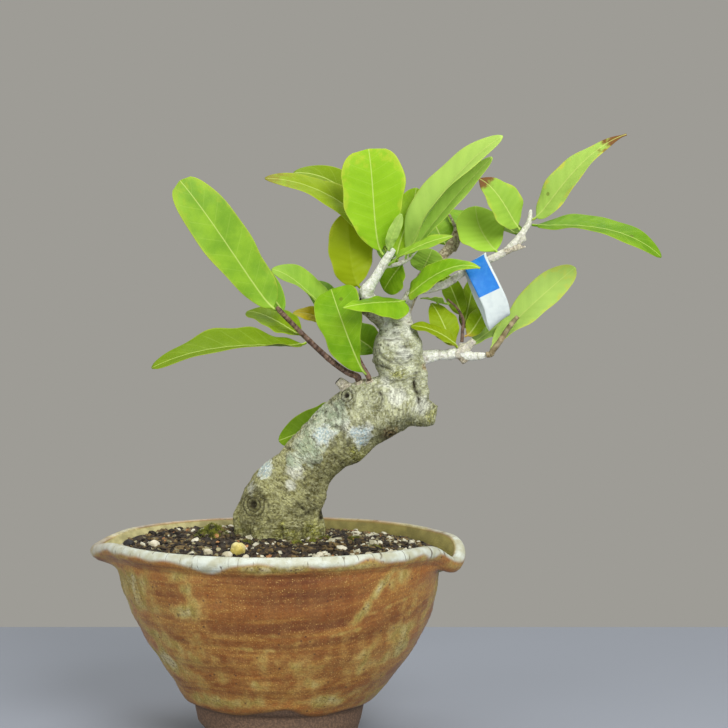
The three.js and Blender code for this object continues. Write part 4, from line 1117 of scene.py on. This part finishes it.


# The twig that carries each leaf and how far along, its tip, its width, the way that it faces, and its
# own form and looks: olive tints the whole blade, pale lightens it, partly as its own colour and partly as
# painted light, the brightening look is painted light over the whole blade, margin yellows its edge, dry
# browns its tip, blush reddens its foot, shade is painted shade over the whole blade and plain hides its
# veins
leaves = {
    "left_high": leafOn("leftShoot", 0.93, (-51, -38, 315), 28, (0.2, -0.9, 0.35), leave=(-0.6, -0.3, 0.75),
            arch=4, peak=0.64, point=0.34, lopsided=0.06, pale=0.15, margin=0.12),
    "left_long": leafOn("leftShoot", 0.58, (-66, -48, 213), 25, (0.05, -0.35, 0.94), bow=(4, -4, 14),
            fold=0.45, ragged=3.2, point=0.5, olive=0.6, shade=0.5),
    "left_back": leafOn("leftShoot", 0.62, (-17, 6, 242), 20, (0.2, -0.6, 0.75), arch=4, olive=0.6,
            shade=0.25),
    "pale_left": leafOn("innerShoot", 0.93, (-3, 1, 266), 24, (0.2, -0.45, 0.88), arch=5, fold=0.45,
            pale=0.3, bright=0.2),
    "yellow": leafOn("innerShoot", 0.78, (9, 6, 241), 12, (0.2, -0.6, 0.75), arch=4, olive=0.3, margin=1.0,
            yellow=1.0, plain=0.5),
    "broad": leafOn("innerShoot", 0.22, (31, -8, 255), 28, (-0.15, -0.95, 0.2), leave=(-0.4, -1, 0.1),
            arch=9, peak=0.78, point=0.33, lopsided=-0.07, ragged=1.6, bright=0.05, shade=0.08),
    "behind_neck": leafOn("neckSpur", 0.8, (34, 34, 231), 22, (-0.1, -0.8, 0.5), arch=3, shade=0.25),
    "low_back": leafOn("backSpur", 0.8, (-1, 44, 164), 21, (-0.4, -0.85, 0.4), arch=-4, olive=0.35,
            shade=0.35),
    "top_upright": leafOn("leftTwig", 0.9, (52, -22, 333), 35, (0.05, -0.97, 0.2), arch=3, peak=0.73,
            point=0.34, ragged=1.3, bright=0.65, margin=0.25),
    "top_left": leafOn("leftTwig", 0.97, (-6, -10, 317), 21, (-0.1, -0.6, 0.8), leave=(0, 1, 0.6), stalk=12,
            bow=(12, 8, 16), dry=0.5, margin=0.1, olive=0.8, shade=0.06, plain=0.3),
    "top_left_back": leafOn("leftTwig", 0.92, (9, 18, 321), 22, (-0.3, -0.6, 0.75), leave=(-0.2, 1, 0.3),
            stalk=14, bow=(14, 14, 21), olive=0.7, shade=0.4),
    "olive": leafOn("leftTwig", 0.36, (40, 0, 298), 25, (0, 1, 0.1), bow=(-2, -7, 0), olive=1.0, plain=0.85,
            margin=0.1),
    "top_right": leafOn("sideTwig", 0.62, (125, -40, 339), 24, (-0.64, -0.52, 0.57), bow=(-10, -4, 8),
            fold=0.6, bright=0.6, pale=0.85),
    "top_right_low": leafOn("sideTwig", 0.74, (120, -30, 328), 15, (-0.5, -0.7, 0.5), bow=(-2, 0, 2),
            fold=0.45, bright=0.9, pale=0.7),
    "top_mid_back": leafOn("sideTwig", 0.4, (79, -2, 312), 18, (0, -0.9, 0.4), leave=(0.5, 0.3, 1),
            bow=(2, 2, 0), peak=0.66, olive=0.3, bright=0.5),
    "small_pale": leafOn("leftTwig", 0.97, (70, -28, 297), 6.5, (0, -1, 0.1), arch=1, pale=1.0, plain=0.5),
    "narrow": leafOn("sideTwig", 0.12, (98, -36, 284.8), 10, (-0.2, -0.6, 0.75), leave=(-0.2, -1, 0.2),
            stalk=7, bow=(-6, -19, 3), margin=0.15, bright=0.2, pale=0.2),
    "front_left": leafOn("rightBranch", 0.2, (38, -34, 245.3), 21, (0.1, -0.6, 0.8), leave=(-0.3, -1, 0.1),
            bow=(2, -8, 3), fold=-0.4, peak=0.34, point=0.9, bright=0.2),
    "front_right": leafOn("rightBranch", 0.25, (114, -22, 267), 17, (-0.3, -0.65, 0.7), leave=(-0.1, -1, 0),
            bow=(-2, -2, 14), peak=0.32, point=0.85, stalk=4, bright=0.2, blush=0.2, margin=0.2),
    "inner_green": leafOn("sideTwig", 0.5, (61, 3, 254), 20, (-0.3, -0.9, 0.3), leave=(0, 1, -0.3), arch=2,
            shade=0.1, olive=0.2),
    "inner_pale": leafOn("backBranch", 0.28, (88, -1, 277.5), 19, (0.1, -0.95, 0.2), leave=(-0.4, -1, 0.2),
            arch=2, pale=0.4, bright=0.4),
    "under_branch": leafOn("rightBranch", 0.52, (90, 6, 261), 9, (0.1, -0.9, 0.4), leave=(0, 0.3, 1),
            arch=2),
    "edge_on": leafOn("darkShoot", 0.95, (81.5, 0, 249.6), 11, (0, 0.12, 1), bow=(0, 0, 1.5), pale=0.5),
    "round": leafOn("rightBranch", 0.8, (113.5, 14, 302), 28, (0, -0.9, 0.4), leave=(-0.5, 1, 0.4), stalk=9,
            bow=(-5, 3, -3), peak=0.6, bright=1.0, pale=0.3, plain=0.3),
    "brown_tip": leafOn("topTwig", 0.45, (114, -8, 317), 22, (0.2, -0.85, 0.5), arch=7, point=0.85,
            peak=0.46, dry=1.0, margin=0.3, bright=0.4, pale=0.4),
    "dark_back": leafOn("topTwig", 0.4, (127, 38, 296), 17, (0.2, -0.8, 0.5), bow=(0, 8, 0), shade=0.75,
            olive=0.3),
    "dry_tip": leafOn("topTwig", 0.8, (195, -20, 341), 19, (-0.3, -0.7, 0.6), bow=(-7, 0, 10.5), peak=0.38,
            point=1.1, dry=1.0, margin=0.6, bright=0.5, pale=0.8),
    "far_right": leafOn("topTwig", 0.7, (214, -26, 273), 25, (0.2, -0.45, 0.88), arch=12, shade=0.32),
    "right_low": leafOn("lowShoot", 0.4, (170, 6, 267), 22, (-0.5, -0.75, 0.4), leave=(-0.3, 1, 0.1),
            stalk=9, bow=(-1, 8, 2), peak=0.7, ragged=1.6, pale=1.0, margin=0.3, bright=0.3),
    "right_small": leafOn("lowStub", 0.45, (150, 12, 246), 13, (0.1, -0.35, 0.93), leave=(0.3, 1, 0),
            bow=(0, 16, 4), pale=0.8, margin=0.6),
    "behind_label": leafOn("darkShoot", 0.25, (123, 14, 247), 12, (-0.2, -0.9, 0.3), arch=2, olive=0.6,
            blush=0.8),
    "yellow_green": leafOn("lowCollar", 0.6, (88, 9, 246.5), 16, (0.2, -0.9, 0.4), arch=3, point=0.8,
            olive=0.8, blush=0.5, bright=0.3),
    "beside_neck": leafOn("lowBranch", 0.55, (76, -6, 234), 9, (-0.1, -0.6, 0.75), arch=5, olive=0.9,
            shade=0.1),
    "tuft_left": leafOn("darkShoot", 0.68, (97, 23, 262), 12, (0, -0.95, 0.3), arch=2, olive=0.5,
            shade=0.2),
    "tuft_right": leafOn("darkShoot", 0.47, (113, 27, 260), 12, (0.3, -0.9, 0.2), arch=2, olive=0.6,
            shade=0.2, blush=0.5),
    "rear_top": leafOn("leftTwig", 0.82, (80, 52, 306), 22, (0, -0.6, 0.8), leave=(0, 1, 0),
            bow=(0, 10, 12)),
    "rear_broad": leafOn("innerShoot", 0.75, (16, 36, 259), 20, (0.2, -0.6, 0.75), arch=5),
    "rear_right": leafOn("backBranch", 0.93, (118, 60, 298), 24, (0, -0.3, 0.95), arch=5),
    "rear_middle": leafOn("backBranch", 0.66, (86, 56, 298), 25, (0, -0.5, 0.85), arch=5),
    "rear_left": leafOn("leftShoot", 0.8, (-38, -2, 296), 18, (-0.2, 0.9, 0.4), arch=5),
    "rear_low": leafOn("backBranch", 0.32, (110, 60, 246), 22, (0, -0.5, 0.85), leave=(0.3, 1, -0.3),
            bow=(0, 10, 0)),
}
leafShape = {
    "rows": 58, "around": 36, "bladeThickness": 0.55, "petioleThickness": 1.5, "petioleShare": 0.1,
    "stalkReach": 7, "point": 0.55, "peak": 0.56, "fold": 0.2, "wave": 1.0, "veins": 11, "edgeWave": 0.042,
}
leafLooks = ["olive", "pale", "bright", "yellow", "margin", "dry", "blush", "shade", "plain"]


def twigOf(name):
    return limbs[name] if name in limbs else shootPoints(shoots[name])


def bladeHalf(s, leaf, hand):  # half the width, where hand is 1 on one side of the midrib and -1 on the other
    share = leafShape["petioleShare"]
    peak = leaf.get("peak", leafShape["peak"]) - hand * leaf.get("lopsided", 0)
    point = leaf.get("point", leafShape["point"])
    wedge = point * peak / (1 - peak)
    along = max(0, (s - share) / (1 - share))
    full = along ** wedge * (1 - along) ** point / (peak ** wedge * (1 - peak) ** point)
    return max(leafShape["petioleThickness"] / 2, leaf["width"] / 2 * full)


def bezier(points, t):
    a, b, c, d = points
    return a * (1 - t) ** 3 + b * 3 * t * (1 - t) ** 2 + c * 3 * t * t * (1 - t) + d * t ** 3


def leafMidrib(leaf):
    twig = twigOf(leaf["on"])
    spine, at, tip = spineOf(twig), leaf["at"], Vector(leaf["tip"])
    node, along = curvePoint(spine, at), curveAhead(spine, at)
    away = Vector(leaf["leave"]) if "leave" in leaf else tip - node
    away = (away - along * away.dot(along)).normalized()
    base = node + away * (radiusAt(twig, at) + seatGap)
    face = Vector(leaf["face"]).normalized()
    stalk = leaf.get("stalk", min(0.16 * (tip - base).length, leafShape["stalkReach"]))
    bow = Vector(leaf["bow"]) if "bow" in leaf else face * leaf.get("arch", 3) * 1.6
    return [base, base + away * stalk, base.lerp(tip, 0.6) + bow, tip], face


def makeLeaf(name, leaf, order, material):
    points, face = leafMidrib(leaf)
    bm, layer = newGrid(leafShape["rows"], leafShape["around"],
                        ["along", "across", "offset", "under"] + leafLooks)
    for vert in bm.verts:
        s, around = (vert.co.x + 1) / 2, (vert.co.y + 1) * math.pi
        vert.co, across, half, under = leafPoint(leaf, points, face, order, s, around)
        vert[layer["along"]] = s
        vert[layer["across"]] = across
        vert[layer["offset"]] = abs(across) * half
        vert[layer["under"]] = under
        for key in leafLooks:
            vert[layer[key]] = leaf.get(key, 0)
    bmesh.ops.remove_doubles(bm, verts=bm.verts, dist=0.01)
    rims = [edge for edge in bm.edges if edge.is_boundary]
    bmesh.ops.holes_fill(bm, edges=rims, sides=0)
    bmesh.ops.recalc_face_normals(bm, faces=bm.faces)
    return makePiece("leaf_blade_" + name, bm, material, ["leaf_" + name])


def leafPoint(leaf, points, face, order, s, around):  # a point of the leaf's skin, s of the way along
    v, level = math.cos(around), math.sin(around)
    v = math.copysign(abs(v) ** 1.45, v)
    ahead = (bezier(points, min(1, s + 0.001)) - bezier(points, max(0, s - 0.001))).normalized()
    side = ahead.cross(face).normalized()
    up = side.cross(ahead)
    blade = smooth(leafShape["petioleShare"], 0.25, s)
    ends = math.sin(math.pi * s)
    turn = order * 1.7 + (0 if v > 0 else 2.3)
    half = bladeHalf(s, leaf, 1 if v > 0 else -1)
    ragged = leafShape["edgeWave"] * leaf.get("ragged", 1) * ends * v * v
    half *= 1 + ragged * (math.sin(9 * s + turn) + 0.7 * math.sin(24 * s + 2 * turn))
    thick = mix(leafShape["petioleThickness"], leafShape["bladeThickness"], blade) / 2
    edge = math.copysign(abs(level) ** mix(1, 0.35, blade), level)
    ripple = leafShape["wave"] * ends * v * v * (math.sin(11 * s + turn) + 0.4 * math.sin(27 * s + turn))
    lift = leaf.get("fold", leafShape["fold"]) * (math.sqrt(v * v + 0.003) - 0.05) * half * ends
    rib = blade * mix(0.5, 0.1, s) * math.exp(-((v * half / mix(0.8, 0.4, s)) ** 2))
    rib *= 0.9 if level < 0 else 0.5
    vein = math.cos(2 * math.pi * (s * leafShape["veins"] - 1.2 * abs(v)))
    quilt = 0.1 * blade * ends * vein * (1 - v * v)
    return (bezier(points, s) + side * v * half + up * (lift + ripple + edge * thick - rib + quilt), v, half,
            1 if level < 0 else 0)


def leafMaterial():
    material, tree, place = newMaterial("magnoliaLeaf")
    along, across, offset, under = readValues(tree, "along", "across", "offset", "under")
    olive, pale, bright, yellow, margin, dry, blush, shade, plain = readValues(tree, *leafLooks)
    side = across.math("ABSOLUTE")
    tone = place.through(mottle, 12, 0.32, 0.68, 4)
    patch = place.through(mottle, 4, 0.35, 0.7, 4)
    between = (along * leafShape["veins"] - side * 1.2).math("PINGPONG", 0.5)
    blade = along.ramp(0.08, 0.2)
    clear = plain.ramp(0, 1, 1, 0)
    lateral = between.ramp(0.01, 0.06, 1, 0) * side.ramp(0.7, 0.95, 1, 0.15)
    veins = (lateral * 0.13).orMore(place.through(fissures, 1.5, 1, 0.06) * 0.07) * (blade * clear)
    rib = (offset + along * 0.25).ramp(0.35, 0.6, 1, 0) * clear
    edge = (side.ramp(0.55, 1) + along.ramp(0.72, 1) + patch).ramp(1.05, 1.8) * margin
    reach = along + patch * 0.08 + dry * 0.14
    spots = place.through(specks, 9, 0.06).ramp(0.93, 1)
    # each blade is lightened by painted light, and partly by pale, and darkened by painted shade, leaf by
    # leaf
    colour = layers(tone.blend(paint(104, 152, 14), paint(132, 176, 26)), (bright * 0.9, paint(154, 200, 36)),
                    (under * 0.3, paint(136, 176, 66)), (olive * 0.9, paint(138, 154, 0)),
                    (pale * 0.6, paint(190, 216, 122)), (yellow * 0.8, paint(222, 190, 30)),
                    (shade * 0.8, paint(56, 88, 6)), (veins, paint(184, 210, 96)),
                    (between.ramp(0.15, 0.5, 0, 0.05) * clear, paint(76, 124, 10)),
                    (edge, paint(206, 196, 70)),
                    (side.ramp(0.93, 0.99) * blade * 0.4, paint(196, 204, 84)),
                    (dry * reach.ramp(0.97, 1.07), paint(122, 84, 44)), (rib * 0.65, paint(196, 214, 116)),
                    (blush * along.ramp(0.05, 0.35, 1, 0) * 0.7, paint(190, 110, 70)),
                    (spots * 0.5, paint(90, 86, 30)))
    relief = tone * 0.3 - veins * 1.2
    return finish(material, colour, patch.ramp(0, 1, 0.48, 0.58), 0.13, relief, 0.5, 0.0004)


# The plastic name band, hung over the right branch: middle and width direction along the loop
band = {
    "width": 14, "thickness": 0.6, "rows": 132, "columns": 14,
    "loop": [((112, -6, 272.1), (0.85, 0, 0.5)), ((112, -9.5, 270.5), (0.85, 0, 0.5)),
             ((115, -12.5, 264), (0.83, 0, 0.56)), ((119.5, -13.5, 255), (0.83, 0, 0.56)),
             ((123.5, -13.5, 246), (0.81, 0, 0.58)), ((125, -12, 239), (0.77, 0, 0.64)),
             ((125.5, -8.5, 236), (0.76, 0, 0.65)), ((124.5, -5, 238), (0.77, 0, 0.64)),
             ((122, -3.2, 244.5), (0.8, 0, 0.6)), ((118, -3, 253), (0.83, 0, 0.55)),
             ((114.5, -2.8, 262), (0.85, 0, 0.5)), ((112, -2.8, 269), (0.85, 0, 0.5))],
    "blueFrom": 0.03, "blueTo": 0.265, "border": 0.09,
}


def makeBand(material):
    middles = [Vector(middle) for middle, _ in band["loop"]]
    widths = [Vector(width) for _, width in band["loop"]]
    bm, layer = newGrid(band["rows"], band["columns"], ["along", "across"])
    for vert in bm.verts:
        t, w = (vert.co.x + 1) / 2, vert.co.y
        ahead = curveAhead(middles, t, closed=True)
        across = curvePoint(widths, t, closed=True)
        across = (across - ahead * across.dot(ahead)).normalized()
        vert[layer["along"]], vert[layer["across"]] = t, w
        bow = across.cross(ahead) * 0.25 * (1 - w * w)
        vert.co = curvePoint(middles, t, closed=True) + across * (w * band["width"] / 2) + bow
    bmesh.ops.remove_doubles(bm, verts=bm.verts, dist=0.01)
    bmesh.ops.recalc_face_normals(bm, faces=bm.faces)
    bmesh.ops.solidify(bm, geom=bm.faces[:], thickness=band["thickness"])
    bmesh.ops.recalc_face_normals(bm, faces=bm.faces)
    return makePiece("name_band_plastic", bm, material, ["name_band"])


def bandMaterial():
    material, tree, place = newMaterial("bandPlastic")
    along, across = readValues(tree, "along", "across")
    start, end, half = band["blueFrom"], band["blueTo"], 1 - band["border"] * 2
    inLength = along.ramp(start - 0.002, start) * along.ramp(end, end + 0.002, 1, 0)
    inWidth = across.math("ABSOLUTE").ramp(half, half + 0.02, 1, 0).orMore(across.math("LESS_THAN", -0.5))
    wear = place.through(mottle, 3, 0.4, 0.7, 5)
    white = wear.blend((0.66, 0.73, 0.71), (0.6, 0.67, 0.66))
    ink = wear.blend((0.015, 0.2, 0.66), (0.03, 0.25, 0.7))
    waves = addNode(tree, "TexNoise", {"Vector": place, "Scale": 0.5})
    return finish(material, (inLength * inWidth).blend(white, ink), 0.34, 0.5, waves, 0.15, 0.0003)


def screenMaterial():
    material, _, place = newMaterial("screenPlastic")
    tone = place.through(mottle, 4, 0.3, 0.7, 3)
    colour = tone.blend((0.02, 0.05, 0.03), (0.05, 0.09, 0.05))
    return finish(material, colour, 0.6, 0.5, tone, 0.2, 0.0002)


makePot(potMaterial())
print("pot done")
darkSoil = grainMaterial("darkSoil", paint(30, 24, 18), paint(66, 52, 40))
makeSoil(darkSoil)
for name, spec in soilGrains.items():
    scatterGrains(name, spec, grainMaterial(name, *spec["colours"]))
for name, spec in pebbles.items():
    makePebbles(name, spec, grainMaterial(name, *spec["colours"], 2.0, 0.6, 0.3))
makeMoss(grainMaterial("mossGreen", paint(66, 70, 18), paint(138, 142, 48), 1.0, 0.7, 0.2))
print("soil done")
makeTrunk(barkMaterial())
print("trunk done")
shootBark = shootMaterial()
for shoot in shoots.values():
    makeShoot(shoot, shootBark)
magnoliaLeaf = leafMaterial()
for order, (name, leaf) in enumerate(leaves.items()):
    makeLeaf(name, leaf, order, magnoliaLeaf)
print("leaves done")
makeBand(bandMaterial())
screenPlastic = screenMaterial()
for name in ("drain_screen_left", "drain_screen_right"):
    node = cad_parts[name]
    node.data.materials.clear()
    node.data.materials.append(screenPlastic)
print("band and screens done")


# A plain pale table top, soft light and the camera
stage = {"halfWidth": 1.6, "front": -1.6, "rear": 0.309, "aim": (0, 0, 0.18), "top": (146, 152, 163),
         "wall": (158, 156, 150)}
view = {"lens": 97.1, "sensor": 36, "place": (-0.0045, -1.114, 0.282), "down": 3.58}  # down in degrees
# Where each light stands, its power and its size
lights = {"key": ((0.55, -1.15, 0.95), 20, 0.8), "fill": ((-1.0, -0.85, 0.6), 7, 1.0),
          "top": ((0.1, 0.35, 1.35), 7, 0.8)}


def makeStage():
    bm = bmesh.new()
    middle = (stage["front"] + stage["rear"]) / 2
    shape = Matrix.Translation((0, middle, 0)) \
        @ Matrix.Diagonal((stage["halfWidth"], stage["rear"] - middle, 1, 1))
    bmesh.ops.create_grid(bm, x_segments=1, y_segments=1, size=1, matrix=shape)
    floor = newObject("tableTop", meshOf("tableTop", bm))
    material = bpy.data.materials.new("paleTable")
    material.use_nodes = True
    shader = material.node_tree.nodes["Principled BSDF"].inputs
    shader["Base Color"].default_value = (*paint(*stage["top"]), 1)
    shader["Roughness"].default_value = 0.6
    floor.data.materials.append(material)
    world = bpy.data.worlds.new("studio")
    scene.world = world
    world.use_nodes = True
    world.node_tree.nodes["Background"].inputs[0].default_value = (*paint(*stage["wall"]), 1)
    scene.view_settings.view_transform = "Standard"
    for name, (place, power, size) in lights.items():
        light = bpy.data.lights.new(name, "AREA")
        light.energy = power
        light.size = size
        lamp = newObject(name, light)
        lamp.location = place
        lamp.rotation_euler = (Vector(stage["aim"]) - Vector(place)).to_track_quat("-Z", "Y").to_euler()


def makeCamera():
    data = bpy.data.cameras.new("camera")
    data.lens = view["lens"]
    data.sensor_width = view["sensor"]
    camera = newObject("camera", data)
    camera.location = view["place"]
    camera.rotation_euler = (math.radians(90 - view["down"]), 0, 0)
    scene.camera = camera


makeStage()
makeCamera()
print("stage done")
